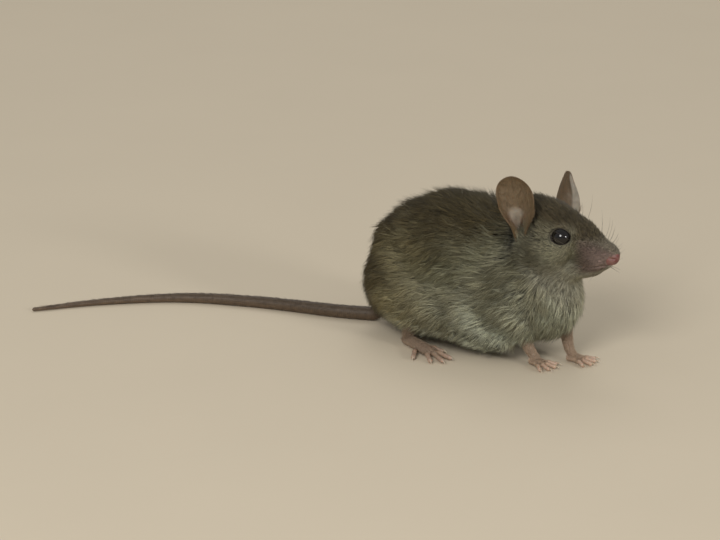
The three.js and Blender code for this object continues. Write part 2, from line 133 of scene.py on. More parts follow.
# Places on the left of the head, in the head frame.
HEAD_AT = np.array((43.6, 0.0, 26.6))
HEAD_ROLL = math.radians(-8)
EYE_AT, EYE_RADIUS = (7.2, 4.4, 0.2), 1.95
EYE_DIP = (5.2, 5.0, -1.3)
LID_OPENING = (1.16, 0.89)  # half the opening along and across the eye, as angles from its middle
LID_RIM, LID_POINTS = 0.09, 72
NOSE_PAD = np.array((17.35, 0.0, -3.1, 1.9, 2.4, 1.45))  # its middle and half-widths

# Ears: height, half-widths and where the widest is, how square the tip is, how tightly root, middle and tip
# curl, how far the middle sways forward, how much the front rim rolls, and the degrees that it faces, leans
# outwards and tips back.
EAR_ROOT = (-1.2, 6.5, 0.0)
EAR = {
    RIGHT: dict(
        length=11.9, base=2.5, widest=4.35, widest_at=0.58, tip=2.2,
        curls=(2.3, 1.1, 0.55), sway=0.0, roll=0.0, pose=(58, 19, 2),
    ),
    LEFT: dict(
        length=11.5, base=2.4, widest=5.0, widest_at=0.44, tip=1.3,
        curls=(2.15, 1.85, 0.35), sway=0.8, roll=0.3, pose=(51.5, 25.4, 8.4),
    ),
}

TAIL_LINE = (
    (8.0, 0.6), (3.7, -0.4), (-4.1, -3.4), (-21.4, -8.4), (-36.9, -15.6), (-49.0, -27.3), (-57.3, -38.9),
)
TAIL_RADII = (1.45, 1.1, 0.36)
TAIL_SINK, TAIL_RISE, TAIL_RISE_TO = 0.12, 4.6, 0.08
TAIL_SCALES = 176

# Legs: points down each leg, and the half-thickness at each. Toes: turn, length, set back.
FORE = {
    RIGHT: dict(
        leg=((39.5, -5.6, 9.5), (41.2, -5.2, 6.6), (42.8, -4.7, 4.4), (44.3, -4.4, 2.3), (45.6, -4.4, 1.0)),
        heel=(44.2, -4.4, 0.9),
        yaw=-6,
    ),
    LEFT: dict(
        leg=((45.6, 3.8, 10.5), (46.6, 3.4, 7.4), (47.8, 2.6, 4.8), (49.0, 1.9, 2.4), (50.4, 1.7, 1.0)),
        heel=(48.9, 1.8, 0.9),
        yaw=8,
    ),
}
FORE_THICK = (2.2, 1.7, 1.3, 1.1, 0.9)
FORE_PALM = dict(length=2.9, half=1.3, tall=0.85)
FORE_TOES = ((32, 2.7, 0.0), (11, 3.3, 0.0), (-9, 3.3, 0.0), (-32, 2.5, 0.0))
FORE_TOE_RADIUS = 0.43
HIND_LEG = ((20.0, 8.0, 8.0), (19.6, 8.5, 6.2), (18.6, 9.1, 4.3), (17.9, 9.4, 2.6), (18.4, 9.7, 1.4))
HIND_THICK = (2.8, 2.3, 1.9, 1.6, 1.2)
HIND_HEEL, HIND_YAW = (16.6, 9.2, 1.0), 20
HIND_PALM = dict(length=9.3, half=1.6, tall=1.1)
HIND_TOES = ((40, 5.0, 2.6), (23, 5.5, 0.0), (6, 6.7, 0.0), (-11, 5.9, 0.0), (-24, 3.7, 2.4))
HIND_TOE_RADIUS = 0.5
LEG_COAT = 0.22  # how far the skin of a leg lies inside its hair
TOE_ROWS, TOE_SIDES, TOE_ROOT = 26, 14, 0.9

# Which piece of the skin a point belongs to: each is one more than the number of its finish.
BODY, EAR_PART, FOOT, TAIL, LID = 1, 2, 3, 4, 5
SKIN_FINISHES = ("Skin under the coat", "Ear skin", "Foot skin", "Tail scales", "Eyelid skin", "Nose skin")

# Hairs in a tuft, hairs of each kind, and the seeds of their draws.
CLUMP = 3
EAR_HAIRS, FRINGE_HAIRS, LEG_HAIRS, FOOT_HAIRS, TAIL_HAIRS = 3600, 900, 1900, 260, 4200
COAT_SEED, SHORT_HAIR_SEED, WHISKER_SEED = 7, 19, 41
HAIR_ROOT, HAIR_LOWEST = 0.12, 0.03  # how deep a hair of the coat starts, and the lowest that any hair comes
NOSE_CLEAR, EAR_CLEAR = 0.84, 1.35  # how near the coat comes to the middle of the nose pad and of an ear's root
BAKE_PATCH = 0.003  # how much of the map a hair takes
MOST_TRIANGLES = 200000

# The stage: name, azimuth, elevation, distance, size, power and colour of each light, in degrees and metres.
AIM = (7.5, -3.84, 15.7)  # millimetres
LOOK = (-0.5739, 0.7616, -0.3007)
LENS, SENSOR, CAMERA_DISTANCE = 175, 36, 0.7
LIGHTS = (
    ("key", 18, 34, 0.9, 0.36, 4.0, (1.0, 0.98, 0.95)),
    ("front", 84, 17, 1.2, 0.2, 3.6, (1.0, 0.99, 0.97)),
    ("back", 215, 50, 1.0, 0.6, 1.4, (1.0, 0.99, 0.98)),
)
WORLD_COLOUR, WORLD_STRENGTH = (1.0, 0.985, 0.95, 1), 0.42
FLOOR_SIZE, FLOOR_SQUARES = 6000, 12

# ---- The mouse's frame ----

_c, _s = math.cos(HEAD_ROLL), math.sin(HEAD_ROLL)
HEAD_TURN = np.array(((1, 0, 0), (0, _c, -_s), (0, _s, _c)))


def from_head(points):
    """Head frame to the mouse's frame: q = head + R p."""
    return np.asarray(points) @ HEAD_TURN.T + HEAD_AT


def to_head(points):
    """The mouse's frame to the head frame: p = R^T (q - head)."""
    return (points - HEAD_AT) @ HEAD_TURN


def on_side(point, side):
    """A place on the left, carried to the side asked for: its y times the side."""
    return np.array(point) * (1, side, 1)


def eye_middle(side):
    """The middle of an eyeball in the mouse's frame."""
    return from_head(on_side(EYE_AT, side))


# Where the mouse's frame sits in the frame of the solids: their right eyes have the same middle.
ORIGIN = np.array(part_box("eye_right")).sum(0) * 500 - eye_middle(RIGHT)


def place(points):
    """Millimetres in the mouse's frame to metres in the frame of the solids."""
    return (np.asarray(points) + ORIGIN) * 0.001


# ---- The form of the body ----


def stack(*parts):
    """Numbers or arrays of one shape side by side along a new last axis."""
    return np.stack(np.broadcast_arrays(*parts), -1)


def circle(count):
    """Angles spaced evenly once round."""
    return np.linspace(0, 2 * np.pi, count, endpoint=False)


def smoothstep(low, high, x):
    """0 below low, 1 above high, and 3t^2 - 2t^3 between them."""
    t = np.clip((np.asarray(x, dtype=float) - low) / (high - low), 0, 1)
    return t * t * (3 - 2 * t)


def bell(x, width):
    """A rounded hump, 1 at 0: exp(-(x / width)^2)."""
    return np.exp(-((x / width) ** 2))


def unit(v):
    """Each row divided by its length."""
    return v / np.maximum(np.linalg.norm(v, axis=-1, keepdims=True), 1e-9)


def mass_distance(p, mass):
    """Distance to one rounded mass: with k = |p/h|, it is k (k - 1) / |p/h^2|, negative inside."""
    x0, y0, z0, hx, hy, hz, pitch = mass
    c, s = math.cos(math.radians(pitch)), math.sin(math.radians(pitch))
    dx, y, dz = p[..., 0] - x0, p[..., 1] - y0, p[..., 2] - z0
    x, z = dx * c + dz * s, dz * c - dx * s
    scaled = np.sqrt((x / hx) ** 2 + (y / hy) ** 2 + (z / hz) ** 2)
    slope = np.sqrt((x / hx**2) ** 2 + (y / hy**2) ** 2 + (z / hz**2) ** 2)
    return scaled * (scaled - 1) / np.maximum(slope, 1e-9)


def blend(a, b, k):
    """The smaller of two distances with the crease filled: min(a, b) - (max(k - |a - b|, 0) / k)^2 k / 4."""
    h = np.maximum(k - np.abs(a - b), 0) / k
    return np.minimum(a, b) - h * h * k / 4


def blend_all(masses, p, k):
    """All masses blended one after another."""
    total = mass_distance(p, masses[0])
    for mass in masses[1:]:
        total = blend(total, mass_distance(p, mass), k)
    return total


def body_distance(p):
    """Distance to the tips of the coat: trunk and head masses blended together."""
    trunk = blend_all(TRUNK_MASSES, p, TRUNK_BLEND)
    return blend(trunk, blend_all(HEAD_MASSES, to_head(p), HEAD_BLEND), NECK_BLEND)


def on_head(p, low, high):
    """0 on the trunk and 1 on the head, by the distance ahead of the slanting plane behind the skull."""
    return smoothstep(low, high, ((p[..., 0] - 35.0) + (p[..., 2] - 32.0)) / math.sqrt(2))


def coat_depth(p):
    """How deep the coat lies over the skin: thickest on the back and throat, thinning over the face to the
    nose."""
    q = to_head(p)
    head = np.interp(q[..., 0], (-8, -3, 2, 6, 10, 12.5, 15), (1.9, 1.25, 0.9, 0.65, 0.42, 0.2, 0.03))
    throat = smoothstep(-5.5, -9.0, q[..., 2])
    head = head + (1.5 - np.minimum(head, 1.5)) * throat * smoothstep(11, 6, q[..., 0])
    return 1.9 + (head - 1.9) * on_head(p, -4, 3)


def face_grooves(q):
    """How far the skin sinks at the nostrils and along the mouth, in the head frame: each is a depth times a
    bell of the distance from its line."""
    x, y, z = q[..., 0], np.abs(q[..., 1]), q[..., 2]
    mouth = np.abs(z - np.interp(x, (10, 12, 14, 15.4), (-4.7, -5.0, -4.7, -4.2)))
    sunk = 0.24 * bell(mouth, 0.14) * smoothstep(9.6, 10.6, x)
    cleft = np.maximum(y, np.maximum(z + 3.2, 0))
    sunk = sunk + 0.22 * bell(cleft, 0.14) * smoothstep(14.4, 15.0, x)
    bend = -2.7 + 0.5 * (y - 1.1) ** 2
    nostril = np.hypot(np.hypot(x - 17.1 + 0.6 * (y - 1.2), np.maximum(np.abs(y - 1.2) - 0.2, 0)), z - bend)
    return sunk + 0.55 * bell(nostril, 0.22)


def nose_pad(q):
    """How far a point of the head is from the middle of the bare nose, in half-widths of the pad."""
    return np.linalg.norm((q - NOSE_PAD[:3]) / NOSE_PAD[3:], axis=-1)


def skin_distance(p):
    """Distance to the skin, inside the coat by its depth, with a dip behind each eye and a low mound round
    it."""
    q = to_head(p)
    total = body_distance(p) + coat_depth(p)
    for side in (LEFT, RIGHT):
        total = total + 0.42 * bell(np.linalg.norm(q - on_side(EYE_DIP, side), axis=-1), 1.9)
        total = blend(total, mass_distance(q, (*on_side(EYE_AT, side), 2.22, 2.08, 2.1, 0)), 0.9)
    return total + face_grooves(q)


def reach(origin, direction, near, far, steps):
    """Distance along each ray to the skin, by halving the stretch between near and far."""
    for _ in range(steps):
        middle = (near + far) / 2
        inside = skin_distance(origin + direction * middle[..., None]) < 0
        near, far = np.where(inside, middle, near), np.where(inside, far, middle)
    return (near + far) / 2


def first_reach(origin, direction, stride=0.6, limit=26.0):
    """Distance along each ray to the first place where it leaves the skin."""
    near = np.zeros(origin.shape[:-1])
    done = np.zeros(near.shape, dtype=bool)
    for step in np.arange(stride, limit, stride):
        done |= skin_distance(origin + direction * step) >= 0
        near = np.where(done, near, step)
    return reach(origin, direction, near, near + stride, 14)


def section_rays(share, turn):
    """Origin and direction of each ray: rays swing from straight back, over the rump, to square across the
    body, and on to straight ahead over the nose, while their origin runs along the middle of the body."""
    along = np.clip((share - REAR_CAP) / (1 - REAR_CAP - NOSE_CAP), 0, 1) * (len(SECTIONS) - 1)
    x, z, lean = (np.interp(along, np.arange(len(SECTIONS)), SECTIONS[:, i]) for i in range(3))
    rear, nose = np.clip(share / REAR_CAP, 0, 1), np.clip((share - 1 + NOSE_CAP) / NOSE_CAP, 0, 1)
    swing = np.pi * (1 - 0.5 * rear - 0.5 * nose)[:, None, None]
    lean = np.radians(lean)
    ahead, up = stack(np.cos(lean), 0, np.sin(lean)), stack(-np.sin(lean), 0, np.cos(lean))
    out = np.cos(turn)[None, :, None] * up[:, None] + np.sin(turn)[None, :, None] * np.array((0.0, 1.0, 0.0))
    direction = np.cos(swing) * ahead[:, None] + np.sin(swing) * out
    return np.broadcast_to(stack(x, 0, z)[:, None], direction.shape), direction


def body_grid(rows, columns):
    """The skin of trunk and head as rings of points, spaced by the longest way between them, and closer to
    each other towards the face."""
    share = np.linspace(0.004, 0.996, 180)
    origin, direction = section_rays(share, circle(12))
    points = origin + direction * first_reach(origin, direction)[..., None]
    gap = np.linalg.norm(np.diff(points, axis=0), axis=-1).max(1)
    gap = gap * np.interp(to_head(points[1:].mean(1))[:, 0], (-6, 0, 8, 13), (1, 2.2, 3.0, 5.0))
    travelled = np.concatenate([[0], np.cumsum(gap)])
    share = np.interp(np.linspace(0, travelled[-1], rows), travelled, share)
    origin, direction = section_rays(share, circle(columns))
    coarse = first_reach(origin[::2, ::4], direction[::2, ::4])
    coarse = np.concatenate([coarse, coarse[:, :1]], 1)
    across = np.stack([np.interp(np.arange(columns), np.arange(0, columns + 1, 4), row) for row in coarse])
    guess = np.stack([np.interp(np.arange(rows), np.arange(0, rows, 2), column) for column in across.T], 1)
    far = reach(origin, direction, np.maximum(guess - 1.6, 0.05), guess + 1.6, 13)
    return origin + direction * far[..., None]


# ---- Grids, paths and meshes ----


def facing_out(points, faces):
    """The triangles turned, where needed, so that the volume they close, the sum of p . (q x r) / 6, is
    positive."""
    p, q, r = (points[faces[:, i]] for i in range(3))
    return faces if np.einsum("ij,ij->", p, np.cross(q, r)) > 0 else faces[:, ::-1]


def shell(grid, lowest=-math.inf):
    """Vertices and triangles of a surface closed round its columns, with a fan of triangles over each end
    ring and no point below the lowest height."""
    rows, columns = grid.shape[:2]
    points = np.concatenate([grid.reshape(-1, 3), grid[:1].mean(1), grid[-1:].mean(1)])
    here, beside = np.arange(columns), (np.arange(columns) + 1) % columns
    start = np.arange(rows - 1)[:, None] * columns
    a, b = (start + here).ravel(), (start + beside).ravel()
    count = rows * columns
    first = stack(count, beside, here)
    last = stack(count + 1, here + count - columns, beside + count - columns)
    faces = np.concatenate([stack(a, b, b + columns), stack(a, b + columns, a + columns), first, last])
    faces = facing_out(points, faces)
    points[:, 2] = np.maximum(points[:, 2], lowest)
    return points, faces


def along_rings(t, sides):
    """One value for each ring of a shell, as values for its points and its two end points."""
    return np.concatenate([np.repeat(t, sides), [0, 1]])


def smooth_line(knots, count):
    """Points evenly spaced along the curve that passes through the knots, each span a cubic whose end slopes
    come from the knots on both sides, weighted by the square roots of the gaps (a centripetal Catmull-Rom
    spline)."""
    p = np.array(knots, dtype=float)
    p = np.concatenate([2 * p[:1] - p[1:2], p, 2 * p[-1:] - p[-2:-1]])
    gap = np.maximum(np.linalg.norm(np.diff(p, axis=0), axis=1), 1e-9) ** 0.5
    a, b, c = gap[:-2, None], gap[1:-1, None], gap[2:, None]
    p0, p1, p2, p3 = p[:-3], p[1:-2], p[2:-1], p[3:]
    leave = b * ((p1 - p0) / a - (p2 - p0) / (a + b) + (p2 - p1) / b)
    arrive = b * ((p2 - p1) / b - (p3 - p1) / (b + c) + (p3 - p2) / c)
    t = np.linspace(0, 1, 40)[:, None, None]
    dense = (2 * t**3 - 3 * t**2 + 1) * p1 + (t**3 - 2 * t**2 + t) * leave
    dense = dense + (3 * t**2 - 2 * t**3) * p2 + (t**3 - t**2) * arrive
    dense = dense.transpose(1, 0, 2).reshape(-1, p.shape[1])
    travelled = np.concatenate([[0], np.cumsum(np.linalg.norm(np.diff(dense, axis=0), axis=1))])
    wanted = np.linspace(0, travelled[-1], count)
    return stack(*[np.interp(wanted, travelled, column) for column in dense.T])


def tube(line, wide, tall, sides, lean=(0.0, 1.0, 0.0)):
    """Rings round a path: path + wide cos(a) across + tall sin(a) up, where across leans the way asked
    for."""
    along = unit(np.gradient(line, axis=0))
    across = unit(np.array(lean) - along * (along @ lean)[:, None])
    up = np.cross(along, across)
    angle = circle(sides)[None, :, None]
    wide, tall = (np.broadcast_to(v, len(line))[:, None, None] for v in (wide, tall))
    return line[:, None] + np.cos(angle) * across[:, None] * wide + np.sin(angle) * up[:, None] * tall


def rounded_ends(count, start, end):
    """A share of the full width for each ring: a quarter circle over the first and last stretch of the
    path."""
    t = np.linspace(0, 1, count)
    ends = [1 - (1 - np.clip(s / over, 0.02, 1)) ** 2 for s, over in ((t, start), (1 - t, end)) if over]
    return np.prod([np.sqrt(np.clip(one, 0, 1)) for one in ends], axis=0)


def new_object(name, points, faces, attributes=None, materials=(), millimetres=False):
    """A mesh object from whole arrays of points and triangles, put where the solids have them."""
    mesh = bpy.data.meshes.new(name)
    where = points if millimetres else place(points)
    mesh.vertices.add(len(where))
    mesh.vertices.foreach_set("co", np.ascontiguousarray(where, dtype=np.float32).ravel())
    mesh.loops.add(faces.size)
    mesh.loops.foreach_set("vertex_index", np.ascontiguousarray(faces, dtype=np.int32).ravel())
    mesh.polygons.add(len(faces))
    mesh.polygons.foreach_set("loop_start", np.arange(0, faces.size, 3, dtype=np.int32))
    mesh.update(calc_edges=True)
    for key, values in (attributes or {}).items():
        values = np.broadcast_to(values, len(where)).astype(np.float32)
        mesh.attributes.new(key, "FLOAT", "POINT").data.foreach_set("value", values)
    for material in materials:
        mesh.materials.append(bpy.data.materials[material])
    made = bpy.data.objects.new(name, mesh)
    bpy.context.scene.collection.objects.link(made)
    return made


def join(shells):
    """Several shells, each with the share along it of each point, as one set of arrays."""
    offset, faces = 0, []
    for points, triangles, _ in shells:
        faces.append(triangles + offset)
        offset += len(points)
    points, _, reach = zip(*shells)
    return np.concatenate(points), np.concatenate(faces), {"reach": np.concatenate(reach)}


# ---- The pieces of the skin ----


def marked(surface, part, reach=0.0, face=0.0):
    """Points and triangles with the part that they belong to, how far along it they are and which face they
    are on."""
    return *surface, {"part": part, "reach": reach, "face": face}


def ear_surface(side, h, c):
    """A point of the ear's middle sheet and its outward normal, at share h of its height and c across, from
    -1 to 1. The sheet is rolled about an upright line, tightly at the root and openly at the tip: its
    distance from that line is half / curl, and it swings by c times curl. The rim rolls forward a little."""
    form = EAR[side]
    faces, lean, back = (math.radians(v) for v in form["pose"])
    facing = np.array((math.cos(faces), side * math.sin(faces), 0.0))
    across = np.array((-facing[1], facing[0], 0.0))
    up = unit(np.array((-math.tan(back), side * math.tan(lean), 1.0)))
    front = unit(facing - up * (facing @ up))
    widest, widest_at = form["widest"], form["widest_at"]
    top = np.clip((h - widest_at) / (1.004 - widest_at), 0, 1)
    low = form["base"] + (widest - form["base"]) * np.sin(np.clip(h / widest_at, -0.4, 1) * np.pi / 2)
    high = widest * np.sqrt(np.maximum(1 - top ** form["tip"], 0))
    half = np.where(h < widest_at, low, high)
    first, second, third = form["curls"]
    curl = first + (second - first) * smoothstep(0, 0.5, h) + (third - second) * smoothstep(0.5, 1, h)
    radius, angle = half / curl, c * curl
    bulge = np.sin(np.pi * np.clip(h, 0, 1))
    rim = smoothstep(0.8, 1.0, np.abs(c)) * 0.35 * bulge
    out = radius * (1 - np.cos(angle)) - 0.7 * bulge + rim
    point = (
        on_side(EAR_ROOT, side)
        + up * (h * form["length"])[..., None]
        + across * (radius * np.sin(angle) + form["sway"] * bulge)[..., None]
        + front * out[..., None]
    )
    normal = front * np.cos(angle)[..., None] - across * np.sin(angle)[..., None]
    return from_head(point), normal @ HEAD_TURN.T


def ear_thickness(h):
    """How thick the ear is at share h of its height."""
    return np.interp(h, (-0.2, 0.1, 0.5, 1.0), (1.0, 0.7, 0.34, 0.28))


def ear_shell(side, rows=64, columns=84):
    """The ear as a closed shell: the middle sheet, plus and minus half its thickness, with a rounded rim.
    Inside, a pad widens up from the root and ends in a soft ledge, and the front rim may be rolled."""
    h = -0.24 + 1.2395 * np.sin(np.linspace(0, np.pi / 2, rows))
    h, loop = np.broadcast_arrays(h[:, None], circle(columns)[None])
    c, face = -np.cos(loop), np.sin(loop)
    middle, normal = ear_surface(side, np.minimum(h, 0.9995), c)
    inside, edge = np.clip(face, 0, 1) ** 0.5, np.abs(face) ** 0.35
    fore = -side * c
    pad_at = np.interp(h, (-0.1, 0.0, 0.2, 0.4), (-0.5, -0.22, -0.2, -0.08))
    pad = (fore - pad_at) / np.interp(h, (-0.1, 0.0, 0.1, 0.2, 0.4), (0.25, 0.22, 0.3, 0.46, 0.52))
    ledge = smoothstep(0.44, 0.36, h + 0.08 * pad**2) * smoothstep(-0.2, -0.08, h)
    raised = smoothstep(1.15, 0.75, np.abs(pad)) * ledge
    lobe = 0.4 * bell(fore - 0.72, 0.16) * smoothstep(0.05, 0.15, h) * smoothstep(0.4, 0.22, h)
    rolled = smoothstep(0.7, 0.8, fore) * smoothstep(-0.1, 0.1, h) * smoothstep(1.0, 0.9, h)
    rolled = rolled * (face < 0) * EAR[side]["roll"]
    offset = (ear_thickness(h) / 2 * np.sign(face) - rolled) * edge + inside * (0.5 * raised + lobe)
    reach = np.concatenate([np.clip(h, 0, 1).ravel(), [0, 1]])
    face = np.concatenate([(inside * (1 + raised) - np.clip(rolled * 4, 0, 1)).ravel(), [0, 0]])
    return marked(shell(middle + normal * offset[..., None]), EAR_PART, reach, face)


def leg_line(knots, thick, side, count):
    """The middle of a leg down its bones, and the half-width of its skin, less than its hair by the hair's
    depth."""
    line = smooth_line([(x, side * abs(y), z) for x, y, z in knots], count)
    return line, np.interp(np.linspace(0, 1, count), np.linspace(0, 1, len(thick)), thick) - LEG_COAT


def leg_shell(knots, thick, side, count=28):
    """A leg as a tube down its bones, rounded at both ends."""
    line, wide = leg_line(knots, thick, side, count)
    bone = 1 + 0.05 * np.sin(np.linspace(0, 1, count) * 7)
    ends = rounded_ends(count, 0.12, 0.08)
    return marked(shell(tube(line, wide * bone * ends, wide * ends, 22), 0.05), FOOT)


def level(start, angle, length, height=0.0):
    """A point at that height, at a distance from the start along a level direction."""
    return np.array((start[0] + math.cos(angle) * length, start[1] + math.sin(angle) * length, height))


def toe_paths(heel, yaw, side, palm, toes, radius):
    """For each toe, its root on the ball of the foot, its direction, its whole length with the claw and its
    radius."""
    ball = level(heel, yaw, palm["length"])
    for i, (turn, length, back) in enumerate(toes):
        offset = -side * (i / (len(toes) - 1) - 0.5) * 2 * (palm["half"] - radius * 0.6)
        root = level(level(ball, yaw + math.pi / 2, offset), yaw, -back - TOE_ROOT)
        yield root, yaw + side * math.radians(turn), TOE_ROOT + length, radius


def palm_section(palm, t):
    """The height of the sole's middle, its half-width and its half-height, at share t from the heel to the
    ball."""
    height = palm["tall"] * np.interp(t, (0, 0.4, 0.8, 1), (0.95, 0.92, 0.74, 0.6))
    wide = palm["half"] * np.interp(t, (0, 0.2, 0.5, 0.8, 1), (0.72, 0.72, 0.78, 0.98, 0.92))
    return height, wide, palm["tall"] * np.interp(t, (0, 0.4, 0.8, 1), (0.98, 0.95, 0.8, 0.66))


def palm_shell(heel, yaw, palm, rows=34, sides=30):
    """The sole from the heel to the ball: rings across it, round above and flat below, with low tendons on
    top."""
    t = np.linspace(0, 1, rows)[:, None]
    line = level(heel, yaw, -0.45) + palm["length"] * 1.12 * t * level((0, 0), yaw, 1)
    height, wide, tall = palm_section(palm, t[:, 0])
    line[:, 2] = height
    ends = rounded_ends(rows, 0.13, 0.12)
    grid = tube(line, wide * ends, tall * ends, sides)
    angle = circle(sides)[None]
    tendon = 0.07 * np.cos(angle * 9) * smoothstep(0.2, 0.9, np.abs(np.sin(angle))) * smoothstep(0.3, 0.7, t)
    grid[..., 2] += np.where(grid[..., 2] > line[:, None, 2], tendon * ends[:, None], 0)
    return marked(shell(grid, 0.02), FOOT, 0.15)


def toe_line(root, angle, length, radius):
    """The middle of a toe: it leaves the ball, arches over its knuckle and comes down to the pad."""
    t = np.linspace(0, 1, TOE_ROWS)
    height = radius * np.interp(t, (0, 0.25, 0.42, 0.62, 0.8, 1), (1.15, 1.5, 1.72, 1.22, 0.98, 0.95))
    line = root + np.outer(t * length * 0.86, level((0, 0), angle, 1))
    line[:, 2] = np.convolve(np.pad(height, 2, mode="edge"), np.ones(5) / 5, mode="valid")
    return line


def toe_shell(root, angle, length, radius):
    """A toe: a tube that swells at two knuckles and at the pad under its tip, creased between them."""
    t = np.linspace(0, 1, TOE_ROWS)
    form = 0.84 + 0.16 * bell(t - 0.42, 0.1) + 0.1 * bell(t - 0.68, 0.08) + 0.1 * bell(t - 0.92, 0.1)
    form = (form - 0.025 * np.cos(t * 60) * smoothstep(0.1, 0.3, t)) * rounded_ends(TOE_ROWS, 0, 0.12)
    grid = tube(toe_line(root, angle, length, radius), radius * form, radius * form * 1.04, TOE_SIDES)
    return marked(shell(grid, 0.0), FOOT, 0.3 + 0.7 * along_rings(t, TOE_SIDES))


def feet():
    """Every foot as (heel, yaw, side, palm, toes, toe radius)."""
    for side in (RIGHT, LEFT):
        one = FORE[side]
        yield one["heel"], math.radians(one["yaw"]), side, FORE_PALM, FORE_TOES, FORE_TOE_RADIUS
        heel, yaw = on_side(HIND_HEEL, side), side * math.radians(HIND_YAW)
        yield heel, yaw, side, HIND_PALM, HIND_TOES, HIND_TOE_RADIUS


def tail_radius(t):
    """Half-width of the tail at share t of its length."""
    return np.interp(t, (0, 0.5, 1), TAIL_RADII)


def tail_line(count):
    """The middle of the tail: down from the rump, then along the floor on a winding line."""
    flat = smooth_line(TAIL_LINE, count)
    t = np.linspace(0, 1, count)
    height = tail_radius(t) * (1 - TAIL_SINK) + TAIL_RISE * (1 - smoothstep(0, TAIL_RISE_TO, t))
    return np.column_stack([flat, height]), t


def tail_shell(per=4, sides=20):
    """The tail, ringed by scales: each ring's edge stands out a little and slopes back to the next."""
    count = TAIL_SCALES * per
    line, t = tail_line(count)
    ridge = (np.arange(count) % per) / per
    wave = 1 + 0.05 * (0.6 - ridge) * smoothstep(0, 0.03, t)
    radius = tail_radius(t) * wave * rounded_ends(count, 0.004, 0.006)
    return marked(shell(tube(line, radius, radius, sides), 0.0), TAIL, along_rings(t, sides))


def gaze(side):
    """The eye's outward axis, its level across and its up, in the mouse's frame."""
    axis = unit(np.array((0.30, side * 0.92, 0.20)))
    across = unit(np.cross((0, 0, 1.0), axis))
    return axis @ HEAD_TURN.T, across @ HEAD_TURN.T, np.cross(axis, across) @ HEAD_TURN.T


def lid_directions(side, angle, spread=1.0):
    """Directions from the eye's middle to the rim of the lids: an ellipse of angles, longer along the eye,
    pointed a little at the front corner."""
    axis, across, up = gaze(side)
    wide = LID_OPENING[0] * (1 + 0.05 * np.clip(-side * np.cos(angle), 0, 1) ** 3)
    swing = spread / np.sqrt((np.cos(angle) / wide) ** 2 + (np.sin(angle) / LID_OPENING[1]) ** 2)
    turned = np.cos(angle)[:, None] * across + np.sin(angle)[:, None] * up
    return np.cos(swing)[:, None] * axis + np.sin(swing)[:, None] * turned


def lid_shell(side, columns=12):
    """The rim of the lids: a thin tube round the opening, just proud of the eyeball."""
    out = lid_directions(side, circle(LID_POINTS))
    middle = eye_middle(side) + out * (EYE_RADIUS + 0.07)
    along = unit(np.roll(middle, -1, 0) - np.roll(middle, 1, 0))
    beside = np.cross(along, out)
    around = circle(columns)[None, :, None]
    grid = middle[:, None] + LID_RIM * (np.cos(around) * out[:, None] + np.sin(around) * beside[:, None])
    i, j = np.meshgrid(np.arange(LID_POINTS), np.arange(columns), indexing="ij")
    corners = ((i, j), (i, j + 1), (i + 1, j + 1), (i + 1, j))
    a, b, c, d = (row % LID_POINTS * columns + column % columns for row, column in corners)
    faces = np.concatenate([stack(a, b, c).reshape(-1, 3), stack(a, c, d).reshape(-1, 3)])
    points = grid.reshape(-1, 3)
    return marked((points, facing_out(points, faces)), LID)


def lid_cutter(side):
    """What is taken out of the skin to open the lids: a cone from inside the eyeball out through the opening,
    with a domed end."""
    rows = [(0.985, far) for far in (0.9, 1.6, 2.3, 3.2)] + [(share, 3.2) for share in (0.7, 0.4, 0.12)]
    rings = [lid_directions(side, circle(LID_POINTS), share) * far for share, far in rows]
    return marked(shell(eye_middle(side) + np.stack(rings)), LID)


# ---- The coat ----


def grid_at(grid, row, column):
    """Values of a grid between its points: a weighted mean of the four round each place. Columns wrap."""
    rows, columns = grid.shape[:2]
    row, column = np.clip(row, 0, rows - 1.001), np.mod(column, columns)
    i, j = np.floor(row).astype(int), np.floor(column).astype(int)
    u, v = (row - i)[:, None], (column - j)[:, None]
    beside = (j + 1) % columns
    near = grid[i, j % columns] * (1 - v) + grid[i, beside] * v
    far = grid[i + 1, j % columns] * (1 - v) + grid[i + 1, beside] * v
    return near * (1 - u) + far * u


def scatter(grid, weight, count, rng):
    """Places (row, column) spread evenly by area times weight: every cell is given its share of the count in
    turn."""
    right = np.roll(grid, -1, axis=1)
    a, b = right[:-1] - grid[:-1], grid[1:] - grid[:-1]
    area = np.linalg.norm(np.cross(a, b), axis=-1) * weight
    total = np.cumsum(area.ravel())
    cell = np.searchsorted(total, (np.arange(count) + rng.random(count)) / count * total[-1])
    row, column = np.divmod(np.minimum(cell, area.size - 1), grid.shape[1])
    return row + rng.random(count), column + rng.random(count)


def slope(p, step=0.05):
    """Outward direction of the skin's distance at each point, from its differences over a short step."""
    here = skin_distance(p)
    return unit(np.stack([skin_distance(p + step * axis) - here for axis in np.eye(3)], -1)), here


def drift(p, scale, seed):
    """A slow wave over the body, between -1 and 1: three crossing sines of position."""
    k = np.random.default_rng(seed).normal(size=(3, 3)) / scale
    s = np.random.default_rng(seed + 1).random(3) * 6.28
    return np.sin(p @ k.T + s).mean(-1) * 1.4


def turned(flow, normal, angle):
    """Directions swung about the normals by an angle: flow cos(a) + (normal x flow) sin(a)."""
    return flow * np.cos(angle)[:, None] + np.cross(normal, flow) * np.sin(angle)[:, None]


def flattened(flow, normal):
    """Directions laid on to the skin: each loses its part along the normal, and is made one long."""
    return unit(flow - normal * (flow * normal).sum(1, keepdims=True))


